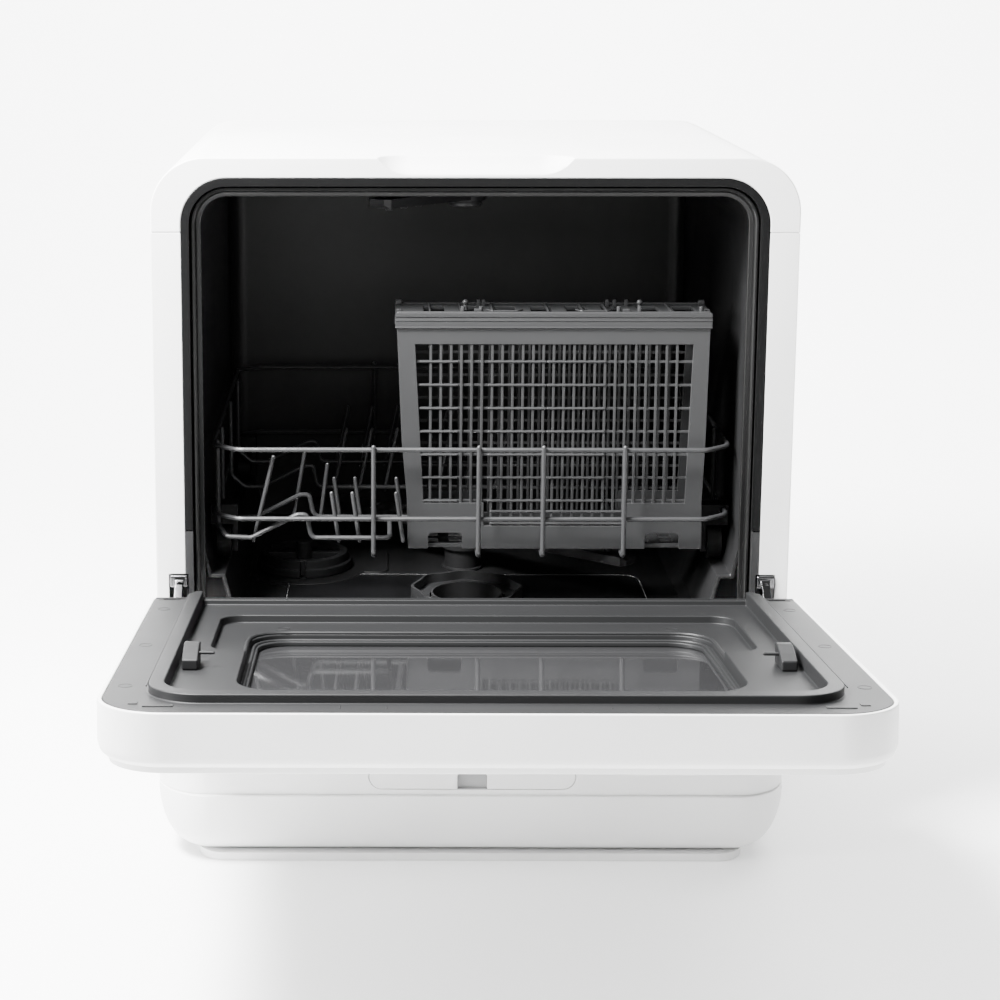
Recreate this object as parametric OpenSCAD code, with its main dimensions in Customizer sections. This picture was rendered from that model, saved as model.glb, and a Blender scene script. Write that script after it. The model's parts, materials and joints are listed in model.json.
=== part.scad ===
// Countertop dishwasher: drop-down door, pull-out wire rack, two spray arms.
// X to the right, Y into the machine, Z up. The origin is the centre of the underside.

/* [Housing] */
// Width of the machine
width = 420; // [410:1:440]
// Height of the machine
height = 468.5; // [462:0.5:480]
// Depth of the housing behind the door seal plane
body_depth = 334; // [330:1:345]
// How far the base stands out in front of the seal plane
base_lip = 38; // [37:0.5:42]
// Radius of the two upper corners
corner_r = 35.5; // [30:0.5:40]
// Thickness of the housing skins
skin = 2.5; // [2:0.1:3]
// Thickness of the rear panel
rear_t = 7; // [6:0.5:9]
// Seam between the base tray and the fascia
tray_seam = 50.5; // [48:0.5:52]
// Height of the top cover above its seam
cover_h = 48.5; // [40:0.5:60]
// Top of the fascia, just under the door
ledge_z = 148; // [146:0.5:149]
// How far the fascia lies behind the tray's front
fascia_set = 3; // [2:0.5:4]
// Radius of the finger scoop in the top cover
scoop_r = 26; // [24:0.5:28]
// Straight length of the finger scoop
scoop_len = 84.4; // [70:1:95]

/* [Mouth and tub] */
// Width of the front frame beside the opening
frame_w = 19.5; // [19:0.25:20]
// Top of the opening
mouth_top = 455.3; // [454.5:0.1:455.5]
// Corner radius of the opening
mouth_r = 30; // [26:0.5:32]
// Bottom of the opening, the sill
sill_z = 166; // [164:0.5:167]
// Width of the trim strip round the opening
trim_w = 5.5; // [5:0.1:6]
// Width of the rubber gasket's band
gasket_w = 7.2; // [6.5:0.1:7.5]
// Room between the tub's inside and the opening's edge, each side
tub_set = 10.5; // [10:0.25:11.5]
// Room between the tub's inner back wall and the back of the housing
tub_room = 22; // [21:1:28]
// Ceiling inside the tub
ceiling_z = 445; // [444:0.5:446]
// Floor inside the tub
floor_z = 150; // [149.5:0.1:151]
// Thickness of the tub's walls
tub_t = 2.5; // [2:0.1:3]
// Top of the roller ledges at the tub's sides
roller_z = 187.3; // [187:0.1:188]
// Height at which the side walls start to slope inwards
shoulder_z = 212; // [208:1:216]

/* [Door] */
// Length of the door, hinge edge to free edge
door_len = 302.8; // [300:0.2:303.6]
// Thickness of the door shell
door_t = 29.2; // [28.5:0.1:29.4]
// Thickness of the glossy outer panel
panel_t = 3.5; // [3:0.1:3.6]
// Angle of the open door above the horizontal
door_tilt = 6; // [5.6:0.1:6.4]
// Corner radius of the free end
door_r = 38; // [34:0.5:42]
// Width of the white rim round the liner
rim_w = 2.5; // [2.2:0.1:3]
// Thickness of the liner sheet
liner_t = 3; // [2.5:0.1:3.2]
// Height of the sealing rib
rib_h = 5; // [4.5:0.1:5.2]
// Room from the housing's side to the outer edge of the sealing rib
rib_set = 25.5; // [25.3:0.1:26]
// Thickness of the sealing rib
rib_t = 8.5; // [8:0.1:8.8]
// Depth of the field below the rim
field_d = 3.5; // [3.5:0.1:4]
// Depth of the stepped recess below the field
step_d = 5; // [4:0.1:5.5]
// Depth of the window pan below the rim
pan_d = 12; // [11:0.1:12.5]

/* [Hinge] */
// Distance of the pivot in front of the seal plane
hinge_y = 27.8; // [27.6:0.05:28]
// Height of the pivot
hinge_z = 157.8; // [157.4:0.1:158]
// Height of the closed door's lower edge
door_foot_z = 165; // [164.8:0.1:165.3]
// Gap between the closed door's rim and the seal plane
seal_gap = 1.5; // [1.3:0.1:1.8]
// Diameter of the hinge pins
pin_d = 5; // [4:0.1:5.4]
// Distance of the hinge arms from the housing's side
arm_set = 15.2; // [15.1:0.1:15.3]
// Thickness of a hinge arm
arm_t = 6; // [5:0.1:6.2]
// Top of the hinge slots in the front frame
slot_top = 191; // [190.8:0.1:193]
// Room from the housing's side to the outer edge of the hinge slots
slot_set = 8.5; // [8:0.1:8.6]

/* [Rack] */
// Diameter of the rack's wire
wire_d = 3.3; // [3:0.1:3.5]
// Height of the upper rail
rail_z = 271; // [266:1:280]
// Height of the lower rail
rail_low_z = 223.3; // [220:0.5:226]
// Diameter of the tines that hold the plates
tine_d = 2.9; // [2.6:0.1:3]
// Height of the cross wires of the rack's floor
cross_z = 209.5; // [208.5:0.1:210]
// Diameter of the rollers
roller_d = 23; // [22:0.1:23.4]
// Width of the rollers
roller_w = 10; // [9:0.5:10.5]
// Diameter of the rollers' axles
axle_d = 6; // [5:0.1:6.5]

/* [Basket] */
// Height of the basket's rim above its foot
basket_h = 159; // [150:1:170]
// Depth of the basket
basket_d = 38; // [36:1:39]
// Pitch of the upright bars
bar_pitch = 6.86; // [6.5:0.02:7.2]
// Width of the upright bars
bar_w = 1.8; // [1.5:0.1:2.4]

/* [Spray arms and filter] */
// Distance of the spray arms' axis behind the seal plane
spray_y = 160; // [158:0.5:161]
// Reach of the lower spray arm
lower_reach = 146; // [120:1:147]
// Reach of the upper spray arm
upper_reach = 104; // [90:1:130]
// Distance of the filter's axis behind the seal plane
filter_y = 77; // [75:0.5:79]
// Radius of the filter cup's rim
cup_r = 38; // [36:0.5:39]

/* [Hidden] */
$fn = 48;

half = width / 2;
depth = body_depth + base_lip;
seal_y = base_lip - depth / 2;
shell_end = body_depth - rear_t;
run_fit = 0.05; // radial clearance of a shaft in its bore
gap = 0.3; // clearance between pieces that move past each other
seat = 0.2; // clearance between pieces that are fitted together
weld = 0.4; // how far crossing wires sink into each other at a weld
reach = 1; // how far a cutting tool stands out of what it cuts

tub_depth = body_depth - tub_room; // depth inside the tub, from the seal plane
cover_seam = height - cover_h;
mouth_half = half - frame_w;
trim_half = mouth_half - trim_w;
trim_top = mouth_top - trim_w;
trim_break = 221; // height at which the trim strip is divided
tub_half = mouth_half - tub_set;
tub_r = 24;
ledge_out = tub_half - 6; // outer edge of the roller ledge
ledge_in = ledge_out - 9; // inner edge of the roller ledge
bay_half = tub_half - 23.5; // half width of the bay at the foot of its walls
bay_floor_half = tub_half - 30;
gasket_front = 4;
gasket_t = 5;
throat_y = gasket_front + gasket_t;
collar_end = throat_y + tub_t;
collar_grow = 3;
tub_back = tub_depth + tub_t;
tub_under = floor_z - tub_t;

// Lower edge of the base: how far the tray is drawn in at a height above the plinth
plinth_h = 8;
tuck = 27;
tuck_power = 1.3;
tuck_steps = 7;
tray_r = 38;
plinth_half = half - tuck;
plinth_set = 12; // how far the plinth stands behind the tray's front
plinth_floor = 4;
function tuck_at(t) = tuck * (1 - pow(1 - pow(1 - t, tuck_power), 1 / tuck_power));

// Door frame of reference: the hinge end of the rim, on the door's own axes
pivot_back = door_foot_z - hinge_z; // the pivot lies this far behind the door's end
pivot_drop = hinge_y - seal_gap; // and this far below the rim
function turn(a, p) = [p[0] * cos(a) - p[1] * sin(a), p[0] * sin(a) + p[1] * cos(a)];
door_back = [-hinge_y, hinge_z] - turn(-door_tilt, [pivot_back, -pivot_drop]);
door_cavity = door_t - skin; // depth of the door shell's tray
arm_x = half - arm_set;
slot_x = half - slot_set;
rib_w = 2 * (half - rib_set);
field_w = rib_w - 2 * rib_t;
arm_in = arm_x - arm_t / 2;
arm_out = arm_x + arm_t / 2;

module at_seal() { translate([0, seal_y, 0]) children(); }
module on_door() {
  translate([0, seal_y + door_back[0], door_back[1]]) rotate([-door_tilt, 0, 0]) children();
}
module both_sides() { children(); mirror([1, 0, 0]) children(); }
// An X-Z outline drawn out along Y
module along_y(y0, y1) { translate([0, y1, 0]) rotate([90, 0, 0]) linear_extrude(y1 - y0) children(); }
// A Y-Z outline drawn out along X
module along_x(x0, x1) {
  translate([x0, 0, 0]) rotate([90, 0, 90]) linear_extrude(x1 - x0) children();
}
module bar(x0, x1, y0, y1, z0, z1) { translate([x0, y0, z0]) cube([x1 - x0, y1 - y0, z1 - z0]); }
module post(p, r, h) { translate(p) cylinder(r = r, h = h); }
module arch(w, z0, z1, r) {
  translate([-w, z0]) square([2 * w, z1 - z0 - r]);
  translate([-w + r, z0]) square([2 * (w - r), z1 - z0]);
  for (s = [-1, 1]) translate([s * (w - r), z1 - r]) circle(r);
}
module plate(x0, x1, y0, y1, r) {
  translate([x0 + r, y0]) square([x1 - x0 - 2 * r, y1 - y0]);
  translate([x0, y0 + r]) square([x1 - x0, y1 - y0 - 2 * r]);
  for (x = [x0 + r, x1 - r], y = [y0 + r, y1 - r]) translate([x, y]) circle(r);
}
module pill(w, z0, z1, grow) {
  r = (z1 - z0) / 2;
  translate([-w + r, z0 - grow]) square([2 * (w - r), 2 * (r + grow)]);
  for (s = [-1, 1]) translate([s * (w - r), z0 + r]) circle(r + grow);
}

// ---- Housing ----
module housing_arch(inset) { arch(half - inset, tray_seam, height - inset, corner_r - inset); }
module mouth_arch(inset) { arch(mouth_half - inset, sill_z + inset, mouth_top - inset, mouth_r - inset); }
scoop_y = 2; // the scoop's axis, behind the front face and above the top
scoop_z = height + 15.5;
module finger_scoop(r) {
  translate([-scoop_len / 2, scoop_y, scoop_z]) rotate([0, 90, 0]) cylinder(r = r, h = scoop_len);
  for (s = [-1, 1]) translate([s * scoop_len / 2, scoop_y, scoop_z]) sphere(r);
}
module top_cover() color("white") at_seal() difference() {
  intersection() {
    union() {
      difference() {
        along_y(0, shell_end) housing_arch(0);
        along_y(skin, shell_end + reach) housing_arch(skin);
      }
      intersection() {
        along_y(skin / 2, shell_end) housing_arch(skin / 2);
        finger_scoop(scoop_r + skin);
      }
    }
    bar(-half - reach, half + reach, -reach, body_depth, cover_seam, height + reach);
  }
  along_y(-reach, skin + reach) mouth_arch(0);
  finger_scoop(scoop_r);
}
module side_panel() color("white") at_seal() difference() {
  union() {
    bar(half - skin, half, 0, shell_end, tray_seam, cover_seam);
    bar(mouth_half, half - skin, 0, skin, ledge_z, cover_seam);
  }
  along_y(-reach, skin + reach) plate(mouth_half - 10, slot_x, ledge_z - 10, slot_top, 1);
}
module side_panel_right() side_panel();
module side_panel_left() mirror([1, 0, 0]) side_panel();
module fascia_plan(inset) {
  front = fascia_set - base_lip;
  r = -front;
  translate([-half + r, front + inset]) square([width - 2 * r, r - inset]);
  intersection() {
    for (s = [-1, 1]) translate([s * (half - r), 0]) circle(r - inset);
    translate([-half, front]) square([width, r]);
  }
}
cover_low = tray_seam + 3.8; // the service cover's lower and upper edges
cover_high = cover_low + 17.9;
cover_half = 68.4;
arm_slot = 24.8; // length of the slots in the ledge through which the hinge arms swing
module front_fascia() color("white") at_seal() difference() {
  translate([0, 0, tray_seam]) linear_extrude(ledge_z - tray_seam) fascia_plan(0);
  translate([0, 0, tray_seam - reach]) linear_extrude(ledge_z - tray_seam - skin + reach)
    fascia_plan(skin);
  bar(-half, half, -seat / 2, reach, tray_seam - reach, tray_seam);
  along_y(-base_lip, -base_lip / 2) pill(cover_half, cover_low, cover_high, 0);
  both_sides() bar(arm_in - 0.7, arm_out + 0.5, -arm_slot, reach, ledge_z - 2 * skin, ledge_z + reach);
}
fascia_back = fascia_set - base_lip + skin;
pocket_depth = 20;
module service_pocket() color("white") at_seal() difference() {
  along_y(fascia_back, fascia_back + pocket_depth) pill(cover_half, cover_low, cover_high, 2);
  along_y(fascia_back - reach, fascia_back + pocket_depth - skin)
    pill(cover_half, cover_low, cover_high, 0);
}
notch_half = 9.8;
notch_top = cover_low + 11.7;
module service_cover() color("white") at_seal() difference() {
  along_y(fascia_set - base_lip, fascia_back) pill(cover_half, cover_low, cover_high, -gap);
  along_y(-base_lip, 0) plate(-notch_half, notch_half, cover_low - 10, notch_top, 3);
}
module tray_form(inset) hull() for (i = [0 : tuck_steps]) {
  t = i / tuck_steps;
  g = tuck_at(t) + inset;
  r = tray_r - inset;
  translate([0, 0, plinth_h + inset + (tray_seam - plinth_h - inset) * t]) linear_extrude(0.01)
    for (x = [-half + g + r, half - g - r], y = [-base_lip + g + r, body_depth - g - r])
      translate([x, y]) circle(r, $fn = 32);
}
tray_lip = 8; // width of the tray's upper ledge
leg = [half - 67, 40, body_depth - 72]; // the tub's legs: half spacing across, front and rear places
leg_r = 6;
foot_at = [half - 55, 0, body_depth - 39];
pad_r = 12;
pad_t = 2.5;
module base_tray() color("white") at_seal() difference() {
  union() {
    difference() {
      tray_form(0);
      tray_form(skin);
      translate([0, 0, plinth_floor]) linear_extrude(plinth_h + skin)
        plate(skin - plinth_half, plinth_half - skin, plinth_front + skin, plinth_rear - skin, 15);
    }
    difference() {
      linear_extrude(plinth_h) plate(-plinth_half, plinth_half, plinth_front, plinth_rear, 18);
      translate([0, 0, plinth_floor]) linear_extrude(plinth_h)
        plate(skin - plinth_half, plinth_half - skin, plinth_front + skin, plinth_rear - skin, 15);
    }
    translate([0, 0, tray_seam - skin]) linear_extrude(skin) difference() {
      plate(-half + 1, half - 1, 1 - base_lip, body_depth - 1, tray_r - 1);
      plate(-half + tray_lip, half - tray_lip, tray_lip - base_lip, body_depth - tray_lip,
        tray_r - tray_lip);
    }
  }
  for (x = [-foot_at[0], foot_at[0]], y = [foot_at[1], foot_at[2]]) post([x, y, -reach], pad_r, pad_t + reach);
}
module tub_legs() color("gray") at_seal() for (x = [-leg[0], leg[0]], y = [leg[1], leg[2]])
  post([x, y, plinth_floor], leg_r, tub_under - plinth_floor);
plinth_front = plinth_set - base_lip;
plinth_rear = body_depth - tuck;
module rubber_feet() color("dimgray") at_seal()
  for (x = [-foot_at[0], foot_at[0]], y = [foot_at[1], foot_at[2]]) post([x, y, 0], pad_r - seat, pad_t);

// The service bay in the rear panel holds the hose and cord connections
bay_x = [half - 166, half - 60];
bay_z = [62, 128];
bay_d = 24;
bay_y = body_depth - bay_d;
inlet_x = bay_x[1] - 22;
drain_x = inlet_x - 34;
gland_x = drain_x - 30;
port_z = 96;
screw_r = 3.5;
screw_points = [for (x = [25 - half, 0, half - 25], z = [tray_seam + 24.5, height - 38.5]) [x, z]];
vent_pitch = 9;
module rear_panel() color("white") at_seal() difference() {
  union() {
    hull() {
      along_y(shell_end, shell_end + rear_t / 2) housing_arch(0);
      along_y(shell_end, body_depth - rear_t / 6) housing_arch(2);
      along_y(shell_end, body_depth) housing_arch(6);
    }
    along_y(bay_y - skin, body_depth - 1)
      plate(bay_x[0] - skin, bay_x[1] + skin, bay_z[0] - skin, bay_z[1] + skin, 8);
  }
  along_y(bay_y, body_depth + reach) plate(bay_x[0], bay_x[1], bay_z[0], bay_z[1], 6);
  for (p = [[inlet_x, inlet_r], [drain_x, drain_r], [gland_x, gland_r]])
    translate([p[0], bay_y + reach, port_z]) rotate([90, 0, 0]) cylinder(r = p[1] + seat, h = skin + 2 * reach);
  for (p = screw_points) translate([p[0], body_depth + reach, p[1]]) rotate([90, 0, 0]) {
    cylinder(r = screw_r + seat, h = 3 + reach);
    cylinder(r = screw_r / 2 + seat, h = rear_t + 2 * reach);
  }
  for (i = [0 : 7]) along_y(shell_end - reach, body_depth + reach)
    pill_slot(-70, 110 + i * vent_pitch);
}
module pill_slot(x, z) translate([x - 35, z]) plate(0, 70, 0, 4, 1.9);
module panel_screws() color("silver") at_seal()
  for (p = screw_points) translate([p[0], body_depth - 0.2, p[1]]) rotate([90, 0, 0]) difference() {
    union() {
      cylinder(r = screw_r, h = 2.6);
      cylinder(r = screw_r / 2, h = rear_t - 0.4);
    }
    for (a = [0, 90]) rotate([0, 0, a]) translate([-2.2, -0.45, -reach]) cube([4.4, 0.9, reach + 1.2]);
  }

// ---- Tub and front frame ----
module tub_section(o) {
  w = tub_half + o;
  arch(w, shoulder_z, ceiling_z + o, tub_r + o);
  polygon([[w, shoulder_z + 1], [w, shoulder_z], [ledge_out + o, roller_z - o], [ledge_in + o, roller_z - o],
    [bay_half + o, floor_z + 5 - o], [bay_floor_half + o, floor_z - o],
    [-bay_floor_half - o, floor_z - o], [-bay_half - o, floor_z + 5 - o], [-ledge_in - o, roller_z - o],
    [-ledge_out - o, roller_z - o], [-w, shoulder_z], [-w, shoulder_z + 1]]);
}
hub_r = 13;
well_r = 33;
cap_at = [-117, 155];
cap_r = 35;
neck_r = 30;
island_h = 2;
module tub() color("dimgray") at_seal() difference() {
  union() {
    along_y(throat_y, tub_back) tub_section(tub_t);
    along_y(skin, collar_end)
      arch(trim_half + collar_grow, sill_z - collar_grow, trim_top + collar_grow,
        mouth_r - trim_w + collar_grow);
  }
  difference() {
    intersection() {
      along_y(collar_end, tub_depth) tub_section(0);
      linear_extrude(height) union() {
        plate(-tub_half - 1, tub_half + 1, collar_end, tub_depth, 14);
        translate([-tub_half - 1, collar_end - 1]) square([2 * tub_half + 2, 30]);
      }
    }
    linear_extrude(floor_z + island_h) {
      translate(cap_at) circle(cap_r + 12);
      translate([cap_at[0], cap_at[1] - 15]) plate(0, 62, 0, 60, 8);
    }
  }
  along_y(skin - reach, throat_y) arch(trim_half + seat, sill_z - seat, trim_top + seat, mouth_r - trim_w + seat);
  along_y(throat_y - reach, collar_end + reach) arch(tub_half, sill_z, ceiling_z, tub_r);
  post([0, filter_y, floor_z - tub_t - reach], well_r, tub_t + 2 * reach);
  post([0, spray_y, floor_z - tub_t - reach], hub_r, tub_t + 2 * reach);
  post([cap_at[0], cap_at[1], floor_z - tub_t - reach], neck_r + seat, tub_t + island_h + 2 * reach);
  post([0, spray_y, ceiling_z - reach], spindle_r + seat, tub_t + 2 * reach);
}
module tub_gasket() color("black") at_seal() difference() {
  along_y(gasket_front, throat_y) arch(trim_half, sill_z, trim_top, mouth_r - trim_w);
  along_y(gasket_front - reach, throat_y + reach)
    arch(trim_half - gasket_w, sill_z + gasket_w - 1, trim_top - gasket_w, mouth_r - trim_w - gasket_w);
}
module trim_ring() difference() {
  mouth_arch(0.1);
  arch(trim_half, 0, trim_top, mouth_r - trim_w);
}
module frame_trim() color("gray") at_seal() along_y(0, skin) difference() {
  trim_ring();
  translate([-half, 0]) square([width, trim_break]);
}
module trim_feet() color("gray") at_seal() along_y(0, skin) difference() {
  trim_ring();
  translate([-half, trim_break - 0.6]) square([width, height]);
  for (s = [0, 1]) mirror([s, 0]) translate([block_in - 0.7, 0]) square([20, slot_top]);
}

// ---- Hinges ----
ear_t = 2.8;
ear_in = arm_out + 0.4;
ear_out = ear_in + ear_t;
pin_boss = 5.5;
block_in = arm_in - 2.4;
block_out = slot_x - 0.6;
plate_back = 2 * skin + gap;
spring_y = 36; // the springs' place behind the seal plane
module hinge_bracket() at_seal() difference() {
  union() {
    along_x(ear_in, ear_out) {
      translate([-hinge_y, hinge_z]) circle(pin_boss);
      translate([-hinge_y, hinge_z - pin_boss]) square([hinge_y + plate_back, 2 * pin_boss]);
    }
    bar(ear_in, half - skin - seat, skin, plate_back, hinge_z - pin_boss, hinge_z + pin_boss);
    bar(slot_x + gap, half - skin - seat, skin, plate_back, hinge_z - 46, hinge_z + 26);
    bar(slot_x + gap, half - skin - seat, skin, spring_y + 9, hinge_z - 46, hinge_z - 43);
  }
  translate([ear_in - reach, -hinge_y, hinge_z]) rotate([0, 90, 0])
    cylinder(r = pin_d / 2 + run_fit, h = ear_t + 2 * reach);
}
module hinge_brackets() color("silver") both_sides() hinge_bracket();
module hinge_pins() color("silver") both_sides() at_seal() translate([0, -hinge_y, hinge_z]) rotate([0, 90, 0]) {
  translate([0, 0, arm_in - gap]) cylinder(d = pin_d, h = ear_out + gap - arm_in + gap);
  translate([0, 0, arm_in - gap - 1.6]) cylinder(r = pin_boss - 1, h = 1.6);
  translate([0, 0, ear_out + gap]) cylinder(r = pin_boss - 1, h = 1.2);
}
spring_turns = 11;
spring_pitch = 4.2;
spring_r = 1.9;
module door_springs() color("silver") both_sides() at_seal()
  translate([slot_x + 2.4, spring_y, hinge_z - 46 - gap - spring_turns * spring_pitch]) rotate_extrude() {
    translate([spring_r - 0.3, 0]) square([0.5, spring_turns * spring_pitch]);
    for (i = [0.5 : 1 : spring_turns]) translate([spring_r, i * spring_pitch]) circle(0.6);
  }
// Side profile of a hinge arm on the door's axes
head = [pivot_back + 27.4, -pivot_drop + 31.5];
head_w = 8.6; // side of the arm's square head
tongue_z = 2.7 - door_cavity;
tongue_len = 60;
module arm_profile() difference() {
  union() {
    translate([pivot_back, -pivot_drop]) circle(pin_boss + 0.4);
    polygon([[pivot_back, -pivot_drop + 5.5], [pivot_back - 5.6, -pivot_drop], [-3, tongue_z - 0.8],
      [-10, tongue_z], [-tongue_len, tongue_z], [-tongue_len, tongue_z + 12], [-10, tongue_z + 12]]);
    polygon([[pivot_back - 3.9, -pivot_drop + 3.7], [pivot_back + 3.9, -pivot_drop - 3.7],
      head + [2.8, -2.8], head + [-2.8, 2.8]]);
  }
  translate([pivot_back, -pivot_drop]) circle(pin_d / 2 + run_fit);
}
module hinge_arms() color("silver") on_door() both_sides() {
  along_x(arm_in, arm_out) arm_profile();
  along_x(block_in, block_out) translate(head) rotate(door_tilt)
    plate(-head_w / 2, head_w / 2, -head_w / 2, head_w / 2, 1.6);
}

// ---- Works in the base ----
sump_z = 104;
spindle_r = 8;
inlet_r = 13.2;
drain_r = 9;
gland_r = 9;
pump_z = 100;
pump_r = 35;
module sump() color("black") at_seal() difference() {
  union() {
    post([0, filter_y, sump_z], well_r + 5, tub_under - sump_z);
    post([0, filter_y, tub_under - 3], well_r + 11, 3);
    translate([0, filter_y, sump_z + 14]) rotate([-90, 0, 0])
      cylinder(r = 11, h = spray_y - filter_y);
    post([-well_r + 8, filter_y, plinth_floor], 7, sump_z - plinth_floor + 1);
  }
  post([0, filter_y, sump_z + skin], well_r + skin, tub_under);
  pump_room();
}
module pump_room() translate([0, spray_y, pump_z]) rotate([0, 90, 0])
  cylinder(r = pump_r + seat, h = 60, center = true);
module wash_pump() color("dimgray") at_seal() difference() {
  union() {
    translate([-16, spray_y, pump_z]) rotate([0, 90, 0]) cylinder(r = pump_r, h = 32);
    translate([15, spray_y, pump_z]) rotate([0, 90, 0]) cylinder(r = 27, h = 78);
    bar(-14, 84, spray_y - 15, spray_y + 15, plinth_floor, pump_z);
    post([0, spray_y, pump_z], 11, tub_under - 6 - pump_z);
  }
  bar(-4, 74, spray_y - 16, spray_y + 16, plinth_floor + 8, pump_z - pump_r - 4);
}
module drain_pump() color("black") at_seal() translate([half - 210, 0, 0]) {
  translate([82, 62, 32]) rotate([-90, 0, 0]) cylinder(r = 20, h = 46);
  translate([82, 106, 32]) rotate([-90, 0, 0]) cylinder(r = 14, h = 22);
  bar(66, 98, 66, 104, plinth_floor, 32);
}
module water_heater() color("silver") at_seal() {
  translate([-60, 262, 34]) rotate([0, 90, 0]) cylinder(r = 21, h = 110);
  for (x = [-48, 28]) bar(x, x + 10, 244, 280, plinth_floor, 34);
}
module softener_tank() color("white") at_seal() difference() {
  union() {
    translate([0, 0, 60]) linear_extrude(tub_under - 60)
      plate(cap_at[0] - 41, cap_at[0] + 41, cap_at[1] - 40, cap_at[1] + 44, 12);
    post([cap_at[0], cap_at[1], plinth_floor], 20, 60);
    post([cap_at[0], cap_at[1], tub_under - 1], neck_r, floor_z + island_h - tub_under + 1);
  }
  post([cap_at[0], cap_at[1], tub_under - 50], neck_r - 4, 100);
}
module feed_hub() color("dimgray") at_seal() difference() {
  union() {
    post([0, spray_y, tub_under - 6 + gap], 11, 10);
    post([0, spray_y, floor_z], hub_r + 2, 2);
    post([0, spray_y, floor_z], hub_r, hub_top - floor_z);
    post([0, spray_y, hub_top - 1], spindle_r, arm_z - hub_top + 6);
  }
  post([0, spray_y, tub_under - 10], spindle_r - 2.5, arm_z - tub_under + 12);
}
duct_w = 12;
duct_t = 8;
duct_y = tub_back + 1;
duct_z = ceiling_z + tub_t + gap;
module feed_pipe() color("gray") at_seal() difference() {
  union() {
    translate([-6, spray_y + pump_r - 5, pump_z]) rotate([-90, 0, 0])
      cylinder(r = 9, h = duct_y - spray_y - pump_r + 6);
    bar(-6 - duct_w, duct_w - 6, duct_y, duct_y + duct_t, pump_z - 14, duct_z + duct_t);
    bar(-duct_w, duct_w, spray_y - duct_w, duct_y + duct_t, duct_z, duct_z + duct_t);
    post([0, spray_y, upper_arm_z - 4], spindle_r, duct_z - upper_arm_z + 5);
    post([0, spray_y, upper_arm_z - 4 - gap], spindle_r + 4, 4);
  }
  pump_room();
}
module inlet_valve() color("white") at_seal() {
  translate([inlet_x, bay_y - skin - gap, port_z]) rotate([90, 0, 0]) cylinder(r = inlet_r + 5, h = 20);
  translate([inlet_x, bay_y + 15, port_z]) rotate([90, 0, 0]) cylinder(r = inlet_r, h = 15 + skin + 2);
  bar(inlet_x - 8, inlet_x + 8, bay_y - skin - 18, bay_y - 14, plinth_floor, port_z);
  translate([inlet_x, bay_y + 2, port_z]) rotate([90, 0, 0]) cylinder(r = inlet_r + 3, h = 2);
}
module drain_outlet() color("gray") at_seal() {
  translate([drain_x, bay_y + 16, port_z]) rotate([90, 0, 0]) cylinder(r = drain_r, h = 16 + skin + 12);
  translate([drain_x, bay_y + 2, port_z]) rotate([90, 0, 0]) cylinder(r = drain_r + 3, h = 2);
}
module cord_gland() color("black") at_seal()
  translate([gland_x, bay_y + 3, port_z]) rotate([90, 0, 0]) difference() {
    union() {
      cylinder(r = gland_r, h = 3 + skin + 6);
      cylinder(r = gland_r + 3, h = 3);
    }
    translate([0, 0, -reach]) cylinder(r = 4, h = 3 + skin + 6 + 2 * reach);
  }
module control_board() color("green") at_seal() translate([half - 210, 0, 0]) {
  bar(100, 165, 168, 250, plinth_floor + 10, plinth_floor + 11.6);
  for (x = [106, 159], y = [174, 244]) post([x, y, plinth_floor], 3, 10);
  bar(108, 128, 180, 200, plinth_floor + 11.6, plinth_floor + 27);
  bar(136, 158, 178, 198, plinth_floor + 11.6, plinth_floor + 22);
  for (y = [212, 226, 240]) post([118, y, plinth_floor + 11.6], 5, 14);
}

// ---- Filter and spray arms ----
plate_t = 1.5;
module filter_plate() color("black") at_seal() translate([0, 0, floor_z]) linear_extrude(plate_t)
  difference() {
    plate(-128, 128, collar_end + 3, 135, 16);
    translate([0, filter_y]) circle(well_r);
    translate(cap_at) circle(cap_r + 12 + gap);
  }
cup_lobes = 8;
cup_low = floor_z + plate_t + gap;
cup_high = floor_z + 10.5;
module crown(r) polygon([for (a = [0 : 5 : 355])
  (r * (1 + 0.035 * cos(cup_lobes * a))) * [cos(a), sin(a)]]);
module filter_cup() color("gray") at_seal() translate([0, filter_y, 0]) {
  translate([0, 0, cup_low]) linear_extrude(cup_high - cup_low) difference() {
    crown(cup_r);
    crown(cup_r - 2.2);
  }
  difference() {
    translate([0, 0, cup_low]) linear_extrude(2) crown(cup_r - 1);
    post([0, 0, cup_low - reach], cup_r - 12, 4);
  }
  difference() {
    post([0, 0, sump_z + 12], cup_r - 9, cup_low - sump_z - 11);
    post([0, 0, sump_z + 14], cup_r - 11, cup_low);
    for (a = [0 : 30 : 150]) rotate([0, 0, a])
      translate([-cup_r, -4, sump_z + 22]) cube([2 * cup_r, 8, cup_low - sump_z - 32]);
  }
}
module fine_filter() color("darkgray") at_seal() translate([0, filter_y, 0]) difference() {
  post([0, 0, sump_z + 14 + seat], cup_r - 13, cup_low - sump_z - 10);
  post([0, 0, sump_z + 16], cup_r - 14.2, cup_low);
}
module softener_cap() color("dimgray") at_seal() translate([cap_at[0], cap_at[1], 0]) difference() {
  union() {
    post([0, 0, floor_z + island_h - 8], neck_r - 4 - run_fit, 9);
    post([0, 0, floor_z + island_h + gap], cap_r, 6);
    difference() {
      post([0, 0, floor_z + island_h + gap], cap_r - 3, 12);
      post([0, 0, floor_z + island_h + 6 + gap], cap_r - 8, 12);
    }
    post([0, 0, floor_z + island_h + gap], 6, 19);
    bar(-cap_r + 6, cap_r - 6, -2.5, 2.5, floor_z + island_h + gap, floor_z + island_h + 11);
  }
  bar(-2, 2, -cap_r - reach, -cap_r + 6, floor_z + island_h, floor_z + island_h + 20);
}
hub_top = floor_z + 15.7;
arm_z = 178; // underside of the lower spray arm's blades
upper_arm_z = 424;
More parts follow.
